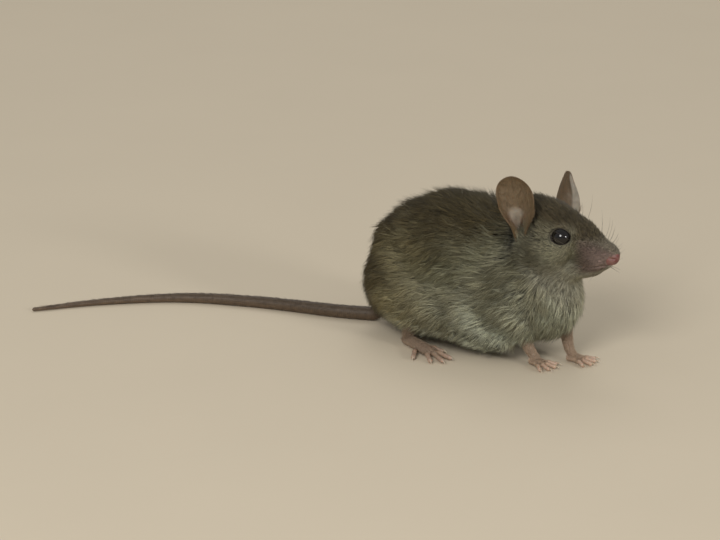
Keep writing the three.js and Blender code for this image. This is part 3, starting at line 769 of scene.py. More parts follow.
def eye_zone(p):
    """How far each point is from the opening of the nearer eye, as a multiple of the opening, and from its
    middle, with a push away from both eyes."""
    ratio, away, push = np.full(len(p), 9.0), np.full(len(p), 99.0), np.zeros_like(p)
    for side in (LEFT, RIGHT):
        axis, across, up = gaze(side)
        out = p - eye_middle(side)
        far = np.linalg.norm(out, axis=1)
        v = out / far[:, None]
        swing = np.arccos(np.clip(v @ axis, -1, 1))
        turn = np.arctan2(v @ up, v @ across)
        limit = 1 / np.sqrt((np.cos(turn) / LID_OPENING[0]) ** 2 + (np.sin(turn) / LID_OPENING[1]) ** 2)
        ratio = np.where(far < 5, np.minimum(ratio, swing / limit), ratio)
        away = np.minimum(away, far)
        push += v * bell(far - 1.5, 1.6)[:, None]
    return ratio, away, push


def ear_zone(p):
    """Distance from the line that rises through the middle of the nearer ear's root, from 2 mm below the
    root."""
    away = np.full(len(p), 99.0)
    for side in (LEFT, RIGHT):
        foot, top = ear_surface(side, np.array([-0.1, 0.3]), np.zeros(2))[0]
        line = unit(top - foot)
        along = np.maximum((p - foot) @ line, -2.0)
        away = np.minimum(away, np.linalg.norm(p - foot - along[:, None] * line, axis=1))
    return away


def coat_flow(p, normal):
    """The lie of the coat: back from the nose, over the neck and back, down and back on the flanks, down the
    chest and over the rump, parting round the eyes, flattened on to the skin and turned a little by slow
    waves."""
    q = to_head(p)
    x, z = p[:, 0], p[:, 2]
    flank = 1 - np.abs(normal[:, 2])
    down = 0.12 + 0.5 * flank + 1.1 * smoothstep(15, 3, x)
    down += 0.8 * smoothstep(9, 4, z) * smoothstep(0.2, 0.7, flank)
    chest = (smoothstep(42, 48, x) * smoothstep(22, 17, z))[:, None]
    trunk = stack(-1.0, 0, -down) * (1 - chest) + np.array((-0.3, 0, -1.0)) * chest
    rise = smoothstep(-1.0, 3.0, q[:, 2])
    aside = np.sign(p[:, 1]) * 0.18 * smoothstep(0.3, 2.0, np.abs(q[:, 1])) * (1 - rise)
    mix = on_head(p, -3, 4)[:, None]
    by_ear = bell(ear_zone(p), 2.4) * smoothstep(EAR_ROOT[0] + 0.4, EAR_ROOT[0] + 1.8, q[:, 0])
    flow = trunk * (1 - mix) + stack(-1.0, aside, -0.28 + 0.5 * rise) * mix
    flow = flow + eye_zone(p)[2] * 1.1 + by_ear[:, None] * np.array((0.1, 0, 1.9))
    angle = np.radians(9) * drift(p, 5.5, 3) + np.radians(5) * drift(p, 1.6, 5)
    return turned(flattened(flow, normal), normal, angle)


def lay(root, normal, length, rise, turn):
    """Middle and tip of each hair: half its length along the lie of the coat, then half along the lie found
    there, each put at its own height over the skin."""
    places = []
    for height in (rise * 0.45, rise):
        root = root + turned(coat_flow(root, normal), normal, turn) * (length * 0.5)[:, None]
        for _ in range(2):
            normal, here = slope(root)
            root = root + normal * (height - here)[:, None]
        places.append(root)
    return places


# The three sides of a hair from its root ring to its middle ring, its three faces to the tip, and its foot.
HAIR_FACES = np.array((
    (0, 1, 4), (0, 4, 3), (1, 2, 5), (1, 5, 4), (2, 0, 3), (2, 3, 5),
    (3, 4, 6), (4, 5, 6), (5, 3, 6), (0, 2, 1),
))
HAIR_ALONG = (0, 0, 0, 0.5, 0.5, 0.5, 1.0)
HAIR_ACROSS = (0.5, 0.0, 1.0, 0.5, 0.0, 1.0, 0.5)


def hairs(root, middle, tip, normal, width):
    """Thin closed hairs: a three-sided ring at the root and at the middle, and a point at the tip."""
    points = np.empty((len(root), 7, 3))
    for first, at, along, share in ((0, root, middle - root, 0.8), (3, middle, tip - root, 1.0)):
        beside = unit(np.cross(along, normal))
        up = unit(np.cross(beside, along))
        for i, angle in enumerate(np.radians((90, 210, 330))):
            out = np.cos(angle) * beside + np.sin(angle) * up * 0.8
            points[:, first + i] = at + (width * share * 0.5)[:, None] * out
    points[:, 6] = tip
    points[..., 2] = np.maximum(points[..., 2], HAIR_LOWEST)
    faces = (HAIR_FACES[None] + 7 * np.arange(len(root))[:, None, None]).reshape(-1, 3)
    return points.reshape(-1, 3), facing_out(points.reshape(-1, 3), faces)


def hair_piece(name, finish, marks, root, middle, tip, normal, width, uv):
    """One piece of coat as an object, with its attributes and its map."""
    points, faces = hairs(root, middle, tip, normal, width)
    along, across = np.tile(HAIR_ALONG, len(root)), np.tile(HAIR_ACROSS, len(root))
    marks = {"along": along, **{key: np.repeat(values, 7) for key, values in marks.items()}}
    made = new_object(name, points, faces, marks, [finish])
    patch = np.repeat(uv, 7, axis=0) + stack(across - 0.5, along - 0.5) * BAKE_PATCH
    layer = made.data.uv_layers.new(name="OFBake")
    layer.uv.foreach_set("vector", patch[faces.ravel()].astype(np.float32).ravel())
    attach(made, "root")
    return made


def body_marks(p):
    """Where each point is on the animal. How high: the cosine of its angle about the middle of the body
    there, 1 along the back and -1 under the belly. How far forward: 0 at the rump, half at the neck and 1 at
    the nose."""
    up = p[:, 2] - np.interp(p[:, 0], SECTIONS[:, 0], SECTIONS[:, 1])
    high = up / np.maximum(np.hypot(up, np.abs(p[:, 1])), 1e-6)
    mix = on_head(p, -4, 3)
    head = np.interp(to_head(p)[:, 0], (-6, 17), (0.45, 1.0))
    return {"high": high, "fore": np.interp(p[:, 0], (2, 40), (0, 0.5)) * (1 - mix) + head * mix}


def tuft_places(grid, clumps, rng):
    """Places (row, column) of the hairs, in clumps whose hairs stand close round a middle. The face has more
    than the trunk, and none starts on the nose pad or in the opening of an eye or ear."""
    cell = (grid[:-1] + grid[1:]) / 2
    flat = cell.reshape(-1, 3)
    q = to_head(flat)
    weight = 1 + on_head(flat, -3, 3) * np.interp(q[:, 0], (-4, 6, 12), (0.15, 1.2, 2.6))
    weight *= (eye_zone(flat)[0] >= 1.0) & (nose_pad(q) >= NOSE_CLEAR) & (ear_zone(flat) >= EAR_CLEAR)
    weight *= np.where(flat[:, 2] < 1.2, 0.4, 1)
    row, column = scatter(grid, weight.reshape(cell.shape[:2]), clumps, rng)
    spread = np.interp(to_head(grid_at(grid, row, column))[:, 0], (-4, 4, 12), (0.24, 0.2, 0.13))
    places = []
    for at, step, offset in zip((row, column), np.eye(2) / 2, rng.normal(size=(2, clumps, CLUMP))):
        ends = [grid_at(grid, row + way * step[0], column + way * step[1]) for way in (1, -1)]
        gap = np.maximum(np.linalg.norm(ends[0] - ends[1], axis=1), 0.03)
        places.append((at[:, None] + offset * (spread / gap)[:, None]).ravel())
    return places


def grow_coat(grid, clumps, tuft_length, rng):
    """Every hair of the trunk and head: its arrays, its marks and the share of its root along the body, one
    entry a hair. Each of its length, height, turn, width and tone is a mean for its place, times or plus
    waves and draws."""
    row, column = tuft_places(grid, clumps, rng)
    count = clumps * CLUMP
    shared = lambda values: np.repeat(values, CLUMP)
    root = grid_at(grid, row, column)
    normal, _ = slope(root)
    upright = normal[:, 2]
    q = to_head(root)
    x, z = q[:, 0], q[:, 2]
    head = on_head(root, -3, 3)
    ratio, away, _ = eye_zone(root)
    from_ear = ear_zone(root)

    # Length: shorter over the face, round the eyes and by the ears, and longer for the guard hairs.
    length = np.interp(x, (-10, -4, 1, 5, 9, 11, 12, 15), (1, 0.8, 0.62, 0.5, 0.36, 0.24, 0.17, 0.1))
    length = np.maximum(length, 0.5 * smoothstep(-5, -9, z) * smoothstep(12, 6, x))
    length = tuft_length * (1 - head + length * head) * (1 - 0.3 * smoothstep(8, 4, root[:, 2]))
    near_eye = np.where(away < 4.2, np.clip(0.2 + (ratio - 1.0) * 1.3, 0.2, 1), 1)
    ahead_of_ear = smoothstep(EAR_ROOT[0] + 1.0, EAR_ROOT[0] + 2.4, x)
    length = length * near_eye * np.maximum(np.interp(from_ear, (1.0, 3.2), (0.42, 1)), 0.9 * ahead_of_ear)
    each, clump = rng.random(count), shared(rng.random(clumps))
    above = smoothstep(0.35, 0.85, upright)
    calm = 1 - 0.45 * head * smoothstep(0.6, 0.2, upright)
    guard = each > 0.91 - 0.05 * above * (1 - head)
    length = length * (0.72 + 0.4 * rng.random(count)) * np.where(guard, 1.25, 1)

    # Height over the skin: a share of the coat's depth, more before the ears and in spikes on the crown.
    shaggy = (1 - 0.2 * above) * calm
    wave = drift(root, 0.9, 11)
    rise = 0.55 + 0.24 * above + (0.6 * clump + 0.25 * wave) * shaggy
    rise += 0.3 * (1 - calm) + 0.25 * rng.random(count)
    rise *= coat_depth(root) * np.where(guard, 1.25 + 0.15 * above, 1)
    rise *= np.interp(near_eye, (0.2, 1), (0.5, 1))
    by_ear = bell(from_ear, 3.0) * smoothstep(4.0, 1.0, z) * smoothstep(1.1, 2.3, from_ear)
    rise += 0.1 * head * rng.random(count) + by_ear * (0.4 + 1.1 * ahead_of_ear) * rng.random(count)
    crown = np.interp(x, (-4, 4, 7, 15), (0.9, 0.9, 0.6, 0.5)) * smoothstep(3.2, 4.2, away)
    spike = shared(rng.random(clumps)) ** 2 * (0.7 + 0.3 * rng.random(count))
    rise += 1.1 * crown * smoothstep(0.2, 0.7, upright) * head * spike

    # Turn from the lie of the coat, and each tuft drawn together towards its tips.
    swirl = shared(rng.normal(size=clumps)) + 0.8 * drift(root, 0.8, 23)
    turn = np.radians(5) * rng.normal(size=count) + np.radians(15) * swirl * shaggy
    middle, tip = lay(root, normal, length, rise, turn)
    pull = (np.clip(0.5 + 0.3 * clump, 0, 0.9) * np.where(guard, 0.3, 1))[:, None]
    for at, share in ((middle, 0.4), (tip, 1.0)):
        gather = np.repeat(at.reshape(clumps, CLUMP, 3).mean(1), CLUMP, axis=0)
        at += (gather - at) * pull * share
    width = np.interp(x, (-4, 2, 8, 14), (0.14, 0.12, 0.09, 0.065)) * head + 0.138 * (1 - head)
    width = width * np.where(guard, 0.8, 1) * (0.8 + 0.4 * rng.random(count))

    tone = 0.45 + (0.65 * (clump - 0.5) + 0.1 * wave) * calm + 0.4 * (rng.random(count) - 0.5)
    tone += 0.3 * smoothstep(2.2, 1.3, ratio) * (away < 4.5)
    tone -= 0.35 * by_ear + 0.4 * smoothstep(2.4, 1.3, from_ear)
    marks = {**body_marks(root), "tone": np.where(guard, 0.1, np.clip(tone, 0, 1))}
    rows, columns = grid.shape[:2]
    share = row / (rows - 1)
    uv = 0.01 + 0.98 * stack(np.clip(share, 0, 1), np.mod(column, columns) / columns)
    arrays = dict(root=root - normal * HAIR_ROOT, middle=middle, tip=tip, normal=normal, width=width, uv=uv)
    keep = (ratio > 0.99) & (nose_pad(q) > NOSE_CLEAR + 0.04)
    return {k: v[keep] for k, v in arrays.items()}, {k: v[keep] for k, v in marks.items()}, share[keep]


# ---- Materials ----


class Shade:
    """A short way to lay out nodes: each call adds one, sets its sockets and returns it or its output."""

    def __init__(self, tree):
        self.tree = tree

    def put(self, kind, settings=None, **sockets):
        """A node of that kind. A socket is given a value, or another node's output to link to."""
        node = self.tree.nodes.new(kind)
        for key, value in (settings or {}).items():
            setattr(node, key, value)
        for key, value in sockets.items():
            self.plug(node.inputs[int(key[1:]) if key[1:].isdigit() else key.replace("_", " ")], value)
        return node

    def plug(self, socket, value):
        """Links a socket to an output, or gives it a value."""
        if isinstance(value, bpy.types.NodeSocket):
            self.tree.links.new(value, socket)
        else:
            socket.default_value = value

    def colour(self, value):
        """A colour's four numbers: from the settings by its name, from its three numbers, or a grey from
        one."""
        value = getattr(bpy.context.scene.mouse_colours, value)[:] if isinstance(value, str) else value
        return (*np.full(3, value, dtype=float), 1)

    def math(self, operation, a, b=0.0, clamp=False):
        """a operation b, as a socket."""
        return self.put("ShaderNodeMath", {"operation": operation, "use_clamp": clamp}, i0=a, i1=b).outputs[0]

    def attribute(self, name):
        """A number kept on the mesh."""
        return self.put("ShaderNodeAttribute", {"attribute_name": name}).outputs["Fac"]

    def where(self, axis=None):
        """Position on the object, in metres, or one axis of it."""
        place = self.put("ShaderNodeTexCoord").outputs["Object"]
        return self.put("ShaderNodeSeparateXYZ", Vector=place).outputs[axis] if axis else place

    def stretched(self, *scale):
        """Position on the object, times a number for each axis."""
        return self.put("ShaderNodeMapping", Vector=self.where(), Scale=scale).outputs[0]

    def noise(self, scale, detail=2.0, vector=None):
        """Smooth noise from 0 to 1."""
        vector = self.where() if vector is None else vector
        return self.put("ShaderNodeTexNoise", Vector=vector, Scale=scale, Detail=detail).outputs["Fac"]

    def cells(self, scale):
        """Distance from the edges of small irregular cells."""
        settings = {"feature": "DISTANCE_TO_EDGE"}
        return self.put("ShaderNodeTexVoronoi", settings, Vector=self.where(), Scale=scale).outputs[0]

    def span(self, value, low, high, first=0.0, last=1.0, kind="LINEAR"):
        """A value from low to high carried to first to last, and held beyond them."""
        sockets = dict(Value=value, From_Min=low, From_Max=high, To_Min=first, To_Max=last)
        return self.put("ShaderNodeMapRange", {"interpolation_type": kind}, **sockets).outputs[0]

    def step(self, value, low, high):
        """A value from low to high carried to 0 to 1 along a smoothstep."""
        return self.span(value, low, high, kind="SMOOTHSTEP")

    def around(self, value, amount):
        """A noise about 0: (value - 1/2) times an amount."""
        return self.math("MULTIPLY", self.math("SUBTRACT", value, 0.5), amount)

    def ramp(self, factor, stops):
        """Colours along a factor, from the place of each stop and its colour, in order."""
        node = self.put("ShaderNodeValToRGB", Fac=factor)
        elements, places = node.color_ramp.elements, list(stops)
        elements[0].position, elements[1].position = places[0], places[-1]
        for at in places[1:-1]:
            elements.new(at)
        for element, value in zip(elements, stops.values()):
            element.color = self.colour(value)
        return node.outputs[0]

    def mix(self, factor, a, b, blend_type="MIX"):
        """Two colours mixed by a factor."""
        node = self.put("ShaderNodeMix", {"data_type": "RGBA", "blend_type": blend_type}, i0=factor)
        for socket, value in ((node.inputs[6], a), (node.inputs[7], b)):
            self.plug(socket, value if isinstance(value, bpy.types.NodeSocket) else self.colour(value))
        return node.outputs[2]

    def times(self, a, b):
        """Two colours multiplied."""
        return self.mix(1.0, a, b, "MULTIPLY")

    def bump(self, height, strength, distance):
        """A normal from a height."""
        return self.put("ShaderNodeBump", Height=height, Strength=strength, Distance=distance).outputs[0]

    def use(self, name, **sockets):
        """A node group placed in this material, as its outputs."""
        return self.put("ShaderNodeGroup", {"node_tree": bpy.data.node_groups[name]}, **sockets).outputs


def group(name, inputs, outputs, fill):
    """A shader node group with those sockets, laid out by fill(shade, inputs), which returns the outputs."""
    tree = bpy.data.node_groups.new(name, "ShaderNodeTree")
    for label, default in inputs.items():
        socket = tree.interface.new_socket(label, in_out="INPUT", socket_type="NodeSocketFloat")
        socket.default_value = default
    for label, kind in outputs.items():
        tree.interface.new_socket(label, in_out="OUTPUT", socket_type=kind)
    into, out = tree.nodes.new("NodeGroupInput"), tree.nodes.new("NodeGroupOutput")
    for i, socket in enumerate(fill(Shade(tree), into.outputs)):
        tree.links.new(socket, out.inputs[i])


def material(name, fill, **settings):
    """A material with one Principled shader. fill(shade) gives what varies, and settings the plain values."""
    made = bpy.data.materials.new(name)
    made.use_nodes = True
    shader = made.node_tree.nodes["Principled BSDF"]
    shade = Shade(made.node_tree)
    for key, value in {**settings, **fill(shade)}.items():
        shade.plug(shader.inputs[key.replace("_", " ")], value)


def markings(s, given):
    """The colour of the coat over the body: dark along the back, warmer on the flanks, paler under the belly,
    throat and muzzle, mottled by slow noise. The paler underside is partly the coat's own colour and partly
    painted light, standing for light thrown up from the floor. Also how much of the muzzle's colour a point
    has."""
    fore, patch = given["Fore"], s.noise(260.0, 3.0)
    high = s.span(s.math("ADD", given["High"], s.around(patch, 0.35)), -1.0, 1.0)
    # Paler low down: partly the coat's own colour and partly painted light from below.
    flank = s.ramp(high, {0: "belly", 0.3: "low_flank", 0.62: "flank", 0.94: "back"})
    top = np.multiply(s.colour("haunch")[:3], 0.8)
    haunch = {
        0: "belly", 0.22: "haunch", 0.34: "haunch", 0.48: "thigh",
        0.6: "thigh", 0.74: top, 0.84: top, 0.98: "rump",
    }
    end = np.multiply(s.colour("rump")[:3], (0.7, 0.7, 0.62))
    haunch = s.mix(s.step(fore, 0.22, 0.06), s.ramp(high, haunch), end)
    # Painted light: the middle of the neck is paler than the flank, to offset the shade that falls in the fold
    # between neck and body.
    neck = {
        0: "belly", 0.06: "low_flank", 0.18: "shoulder", 0.34: "shoulder",
        0.48: "low_flank", 0.6: "low_flank", 0.72: "flank", 0.95: "back",
    }
    trunk = s.mix(s.step(fore, 0.46, 0.53), flank, s.ramp(high, neck))
    trunk = s.mix(s.step(fore, 0.38, 0.12), trunk, haunch)
    head = s.mix(s.step(fore, 0.68, 0.76), "cheek", "face")
    head = s.mix(s.ramp(high, {0: 0, 0.1: 0, 0.32: 1}), "throat", head)
    head = s.mix(s.ramp(high, {0.62: 0, 0.88: 1}), head, "crown")
    edge = s.math("SUBTRACT", s.math("ADD", fore, s.around(patch, 0.05)), s.span(high, 0.78, 0.98, 0, 0.07))
    muzzle = s.math("MULTIPLY", s.step(edge, 0.83, 0.895), s.span(high, 0.06, 0.16, 0.35, 1))
    bridge = s.mix(s.ramp(high, {0.7: 0, 0.9: 0.6}), "muzzle", "face")
    return s.mix(muzzle, s.mix(s.step(fore, 0.5, 0.66), trunk, head), bridge), muzzle


def grain(s, given):
    """Fine skin: small cells with soft creases between them, as a height and a mottle."""
    crease = s.math("MINIMUM", s.cells(given["Scale"]), 0.2)
    return s.math("ADD", crease, s.math("MULTIPLY", s.noise(9000.0), 0.12)), s.noise(1100.0, 3.0)


def use_markings(s):
    """The coat's markings, fed by the mesh's own attributes: their colour and their share of the muzzle's."""
    made = s.use("Coat markings", High=s.attribute("high"), Fore=s.attribute("fore"))
    return made["Color"], made["Muzzle"]


def skin_finish(s, colour, scale, depth):
    """Colour mottled by the grain of the skin, and its bump."""
    made = s.use("Skin grain", Scale=scale)
    lit = s.times(colour, s.ramp(made["Mottle"], {0.25: 0.8, 0.75: 1.15}))
    return {"Base_Color": lit, "Normal": s.bump(made["Height"], 0.6, depth)}


def under_coat(s):
    """The skin's colour under the coat: the coat's markings, darker where the hair is long and deep, both for
    the dark under-fur and as painted shade deep in the coat.
    """
    colour, muzzle = use_markings(s)
    # Partly painted shade: darkest under the trunk's long coat, standing for the shade between the hairs as
    # well as the dark under-fur.
    deep = s.ramp(s.attribute("fore"), {0.55: (0.3, 0.29, 0.3), 0.75: (0.62, 0.6, 0.6)})
    return s.times(colour, s.mix(muzzle, deep, (0.95, 0.92, 0.95)))


def by_limb_with_floor_light(s, colour):
    """A colour, darker on the hind legs and paler on the forelegs, where it is painted light from the floor."""
    return s.times(colour, s.span(s.where("X"), 0.031, 0.036, 0.9, 1.2))


def coat(s):
    """Banded hairs, dark at the root and pale before the tip, some locks darker than others."""
    along, tone = s.attribute("along"), s.attribute("tone")
    band = {0: (0.2, 0.2, 0.22), 0.4: (0.46, 0.45, 0.45), 0.66: (1.1, 1.07, 1.02), 0.92: 1.12, 1: 0.9}
    colour = s.times(use_markings(s)[0], s.ramp(along, band))
    shade = s.ramp(tone, {0: 0.34, 0.25: 0.74, 0.6: 1.04, 1: 1.7})
    return {"Base_Color": s.times(colour, shade), "Roughness": s.span(tone, 0, 1, 0.42, 0.6)}


def short_coat(own, level=lambda s, colour: colour):
    """Short hair: the coat's colour where it meets the coat, and the part's own colour further out."""
    def fill(s):
        colour = s.mix(s.attribute("bare"), use_markings(s)[0], level(s, own))
        colour = s.times(colour, s.ramp(s.attribute("along"), {0: 0.8, 1: 1.1}))
        return {"Base_Color": s.times(colour, s.ramp(s.attribute("tone"), {0: 0.6, 0.5: 1, 1: 1.3}))}

    return fill


def body_skin(s):
    """Skin with the marks of hair roots, drawn out along the body."""
    height = s.noise(1.0, 3.0, s.stretched(500.0, 2600.0, 1500.0))
    return {"Base_Color": under_coat(s), "Normal": s.bump(height, 0.7, 0.00025)}


def ear_skin(s):
    """Dark outside and paler inside, with veins, pale folds and a dark canal, darker partly as painted shade
    deep in the ear.
    """
    face = s.attribute("face")
    # The canal at the root is partly its own darker skin and partly painted shade in the ear's hollow.
    inner = {0: "canal", 0.16: "canal", 0.38: "ear_inner", 0.72: "ear_inner", 1: "ear"}
    folded, rolled = s.math("SUBTRACT", face, 1.0, clamp=True), s.math("MULTIPLY", face, -1.0, clamp=True)
    inner = s.mix(s.math("MULTIPLY", folded, 0.6), s.ramp(s.attribute("reach"), inner), "ear_fold")
    outer = s.mix(s.math("MULTIPLY", rolled, 0.7), "ear", "ear_fold")
    inside = s.math("MINIMUM", face, 1.0)
    colour = s.times(s.mix(inside, outer, inner), s.ramp(s.cells(420.0), {0: 0.93, 0.06: 1}))
    colour = s.mix(s.math("MAXIMUM", s.attribute("bare"), inside), under_coat(s), colour)
    return skin_finish(s, colour, 3600.0, 0.00006)


def foot_skin(s):
    """The coat's colour up the leg, a paler shank and paler toes still."""
    colour = s.ramp(s.attribute("reach"), {0: "shank", 0.2: "shank", 0.45: "toes", 1: "toe_tips"})
    colour = s.mix(s.attribute("bare"), under_coat(s), by_limb_with_floor_light(s, colour))
    return skin_finish(s, colour, 2300.0, 0.00009)


def tail_skin(s):
    """Dark above and paler below, with a dark line between the scales."""
    ring = s.math("FRACT", s.math("MULTIPLY", s.attribute("reach"), TAIL_SCALES))
    colour = s.mix(s.span(s.where("Z"), 0.0004, 0.0018), "tail_under", "tail")
    colour = s.times(colour, s.ramp(ring, {0: 0.72, 0.16: 1, 0.8: 1.06, 1: 0.72}))
    return skin_finish(s, s.mix(s.attribute("bare"), under_coat(s), colour), 3200.0, 0.00007)


def lid_skin(s):
    """The lids' rim, with patches as dark as the eye."""
    return skin_finish(s, s.mix(s.noise(900.0), "lid", "eye"), 3600.0, 0.00005)


def nose_skin(s):
    """The bare nose, with patches of the muzzle's colour."""
    colour = s.mix(s.ramp(s.noise(700.0), {0.3: 0, 0.7: 0.5}), "nose", "muzzle")
    return skin_finish(s, colour, 3300.0, 0.00009)


def eye_shine(s):
    """A black pupil in a nearly black iris with fine fibres."""
    black, dark, rim = (0.002, 0.002, 0.002), (0.003, 0.002, 0.002), (0.03, 0.016, 0.012)
    iris = s.ramp(s.attribute("iris"), {0: black, 0.3: dark, 0.5: "eye", 0.95: "eye", 1: rim})
    colour = s.times(iris, s.ramp(s.noise(2600.0, 3.0), {0.3: 0.7, 0.7: 1.3}))
    return {"Base_Color": colour, "Roughness": s.ramp(s.noise(300.0), {0: 0.05, 1: 0.09})}


def claw_horn(s):
    """Horn, paler to the tip, with grain along the claw."""
    colour = s.ramp(s.attribute("reach"), {0: "toes", 0.35: "claw", 1: (0.62, 0.54, 0.43)})
    height = s.noise(1.0, 2.0, s.stretched(2500.0, 2500.0, 9000.0))
    return {"Base_Color": colour, "Normal": s.bump(height, 0.3, 0.00003)}


def whisker_hair(s):
    """Dark at the root and paler to the tip."""
    colours = {0: (0.03, 0.024, 0.018), 0.6: (0.05, 0.04, 0.03), 1: (0.16, 0.13, 0.1)}
    rough = s.ramp(s.noise(2000.0), {0: 0.3, 1: 0.45})
    return {"Base_Color": s.ramp(s.attribute("reach"), colours), "Roughness": rough}


def floor_card(s):
    """Matt card, a little uneven."""
    return {"Base_Color": s.mix(s.noise(30.0, 4.0), "floor", np.multiply(s.colour("floor")[:3], 1.04))}


SOFT = dict(Subsurface_Weight=0.22, Subsurface_Radius=(0.001, 0.0005, 0.0003), Subsurface_Scale=0.6)
HORN = dict(Subsurface_Weight=0.15, Subsurface_Radius=(0.0006, 0.0004, 0.0002))

# Each finish: its name, what lays it out, its roughness, its specular level and its other plain values.
FINISHES = (
    ("Agouti hair", coat, 0.5, 0.42, {}),
    ("Ear hair", short_coat("ear_hair"), 0.5, 0.4, {}),
    ("Leg hair", short_coat("leg_hair", by_limb_with_floor_light), 0.5, 0.4, {}),
    ("Tail hair", short_coat("tail_hair"), 0.5, 0.4, {}),
    ("Skin under the coat", body_skin, 0.8, 0.2, {}),
    ("Ear skin", ear_skin, 0.5, 0.4, SOFT),
    ("Foot skin", foot_skin, 0.46, 0.45, SOFT),
    ("Tail scales", tail_skin, 0.5, 0.4, {}),
    ("Eyelid skin", lid_skin, 0.6, 0.25, {}),
    ("Nose skin", nose_skin, 0.42, 0.5, SOFT),
    ("Black eye", eye_shine, 0.5, 0.3, dict(Coat_Weight=0.5, Coat_Roughness=0.02)),
    ("Claw horn", claw_horn, 0.28, 0.5, HORN),
    ("Whisker hair", whisker_hair, 0.5, 0.5, {}),
    ("Floor card", floor_card, 0.85, 0.15, {}),
)


def make_materials():
    """Every finish of the mouse, by name."""
    number = "NodeSocketFloat"
    group("Coat markings", dict(High=0.0, Fore=0.0), dict(Color="NodeSocketColor", Muzzle=number), markings)
    group("Skin grain", dict(Scale=2500.0), dict(Height=number, Mottle=number), grain)
    for name, fill, rough, specular, others in FINISHES:
        material(name, fill, Roughness=rough, Specular_IOR_Level=specular, **others)


# ---- What a user may change ----


def length_property(label, description, default, least, most):
    """A length in metres that a user can change."""
    stated = dict(name=label, description=description, unit="LENGTH", precision=4)
    return FloatProperty(default=default, min=least, max=most, **stated)


def count_property(label, description, default, least, most):
    """A whole number that a user can change."""
    return IntProperty(name=label, description=description, default=default, min=least, max=most)


def tint(label, description, *display):
    """A colour that a user can change, given as display values d from 0 to 255 and kept as the linear numbers
    that shaders use: with s = d / 255, s / 12.92 up to 0.04045, and ((s + 0.055) / 1.055)^2.4 above."""
    share = np.array(display) / 255
    linear = np.where(share <= 0.04045, share / 12.92, ((share + 0.055) / 1.055) ** 2.4).tolist()
    stated = dict(name=label, description=description, subtype="COLOR", size=3, min=0, max=1)
    return FloatVectorProperty(default=linear, **stated)


class MouseSizes(bpy.types.PropertyGroup):
    """Sizes and counts of the mouse's coat and small parts."""

    tuft_length: length_property("Hair length", "Length of the hairs on the trunk", 0.0048, 0.001, 0.02)
    clumps: count_property("Tufts", "How many tufts of hair the trunk and head carry", 41400, 100, 46000)
    whiskers: count_property("Whiskers a side", "How many whiskers each side of the muzzle has", 22, 4, 40)
    whisker_length: length_property("Whisker length", "Length of the longest whisker", 0.0095, 0.004, 0.03)
    claw_length: length_property("Claw length", "Length of a claw outside its toe", 0.0011, 0.0003, 0.003)


class MouseColours(bpy.types.PropertyGroup):
    """Colours of the mouse's coat and bare parts."""

    back: tint("Back", "Hair along the back", 89, 80, 55)
    rump: tint("Rump", "Hair over the rump", 92, 83, 60)
    haunch: tint("Haunch", "Hair low on the haunches", 172, 163, 126)
    thigh: tint("Thigh", "Hair high on the haunches", 131, 122, 91)
    flank: tint("Flank", "Hair on the middle of the flanks", 149, 149, 125)
    shoulder: tint("Shoulder", "Hair on the shoulders and neck", 113, 111, 89)
    # Low flank, belly and throat: partly the coat's own pale colour and partly painted light, paler for the
    # light thrown up from the floor.
    low_flank: tint("Low flank", "Hair low on the flanks and haunches", 166, 165, 143)
    belly: tint("Belly", "Hair under the belly", 191, 197, 180)
    throat: tint("Throat", "Hair under the throat", 185, 184, 167)
    cheek: tint("Cheek", "Hair on the cheeks", 124, 121, 101)
    face: tint("Face", "Hair below and before the eyes", 141, 139, 118)
    crown: tint("Crown", "Hair on top of the head", 88, 79, 59)
    muzzle: tint("Muzzle", "Hair on the muzzle", 137, 120, 110)
    ear: tint("Ear", "Outer skin of the ears", 94, 76, 53)
    ear_inner: tint("Inside of ear", "Inner skin of the ears", 113, 96, 74)
    ear_fold: tint("Fold in ear", "Raised folds inside the ears", 146, 139, 125)
    # The ear canal: its own darker skin with painted shade of the ear's hollow.
    canal: tint("Ear canal", "Skin deep in the ear", 96, 63, 45)
    nose: tint("Nose", "Bare skin of the nose", 102, 42, 40)
    lid: tint("Eyelid", "Rim of the eyelids", 44, 36, 30)
    eye: tint("Eye", "Iris of the eye", 12, 9, 6)
    shank: tint("Shank", "Skin from the ankle to the ball of the foot", 150, 129, 111)
    toes: tint("Toes", "Skin of the toes", 149, 126, 105)
    toe_tips: tint("Toe tips", "Skin at the ends of the toes", 176, 150, 132)
    tail: tint("Tail", "Upper side of the tail", 79, 65, 50)
    tail_under: tint("Tail under", "Lower side of the tail", 102, 85, 68)
    claw: tint("Claw", "Claw horn", 168, 148, 124)
    ear_hair: tint("Ear hair", "Short hair of the ears", 117, 97, 71)
    leg_hair: tint("Leg hair", "Short hair of the legs and feet", 168, 146, 124)
    tail_hair: tint("Tail hair", "Fine hair of the tail", 92, 80, 68)
    floor: tint("Floor", "The floor", 205, 193, 172)


# ---- The pieces, one operator each ----


@lru_cache(maxsize=1)
def body_form():
    """The grid of the body's skin, kept for the coat."""
    return body_grid(BODY_ROWS, BODY_COLUMNS)


def in_collection(name, shells):
    """Each shell as an object, in millimetres, in a collection of its own."""
    box = bpy.data.collections.new(name)
    bpy.context.scene.collection.children.link(box)
    for i, one in enumerate(shells):
        made = new_object(f"{name}{i}", *one, millimetres=True)
        bpy.context.scene.collection.objects.unlink(made)
        box.objects.link(made)
    return box


def read(items, key, kind, width=1):
    """One property of all of a mesh's points, loops or triangles, as an array with a row for each."""
    values = np.empty(len(items) * width, dtype=kind)
    items.foreach_get(key, values)
    return values.reshape(-1, width) if width > 1 else values


class MOUSE_OT_materials(bpy.types.Operator):
    """Makes every finish of the mouse"""

    bl_idname = "mouse.materials"
    bl_label = "Finishes"

    def execute(self, context):
        make_materials()
        return {"FINISHED"}


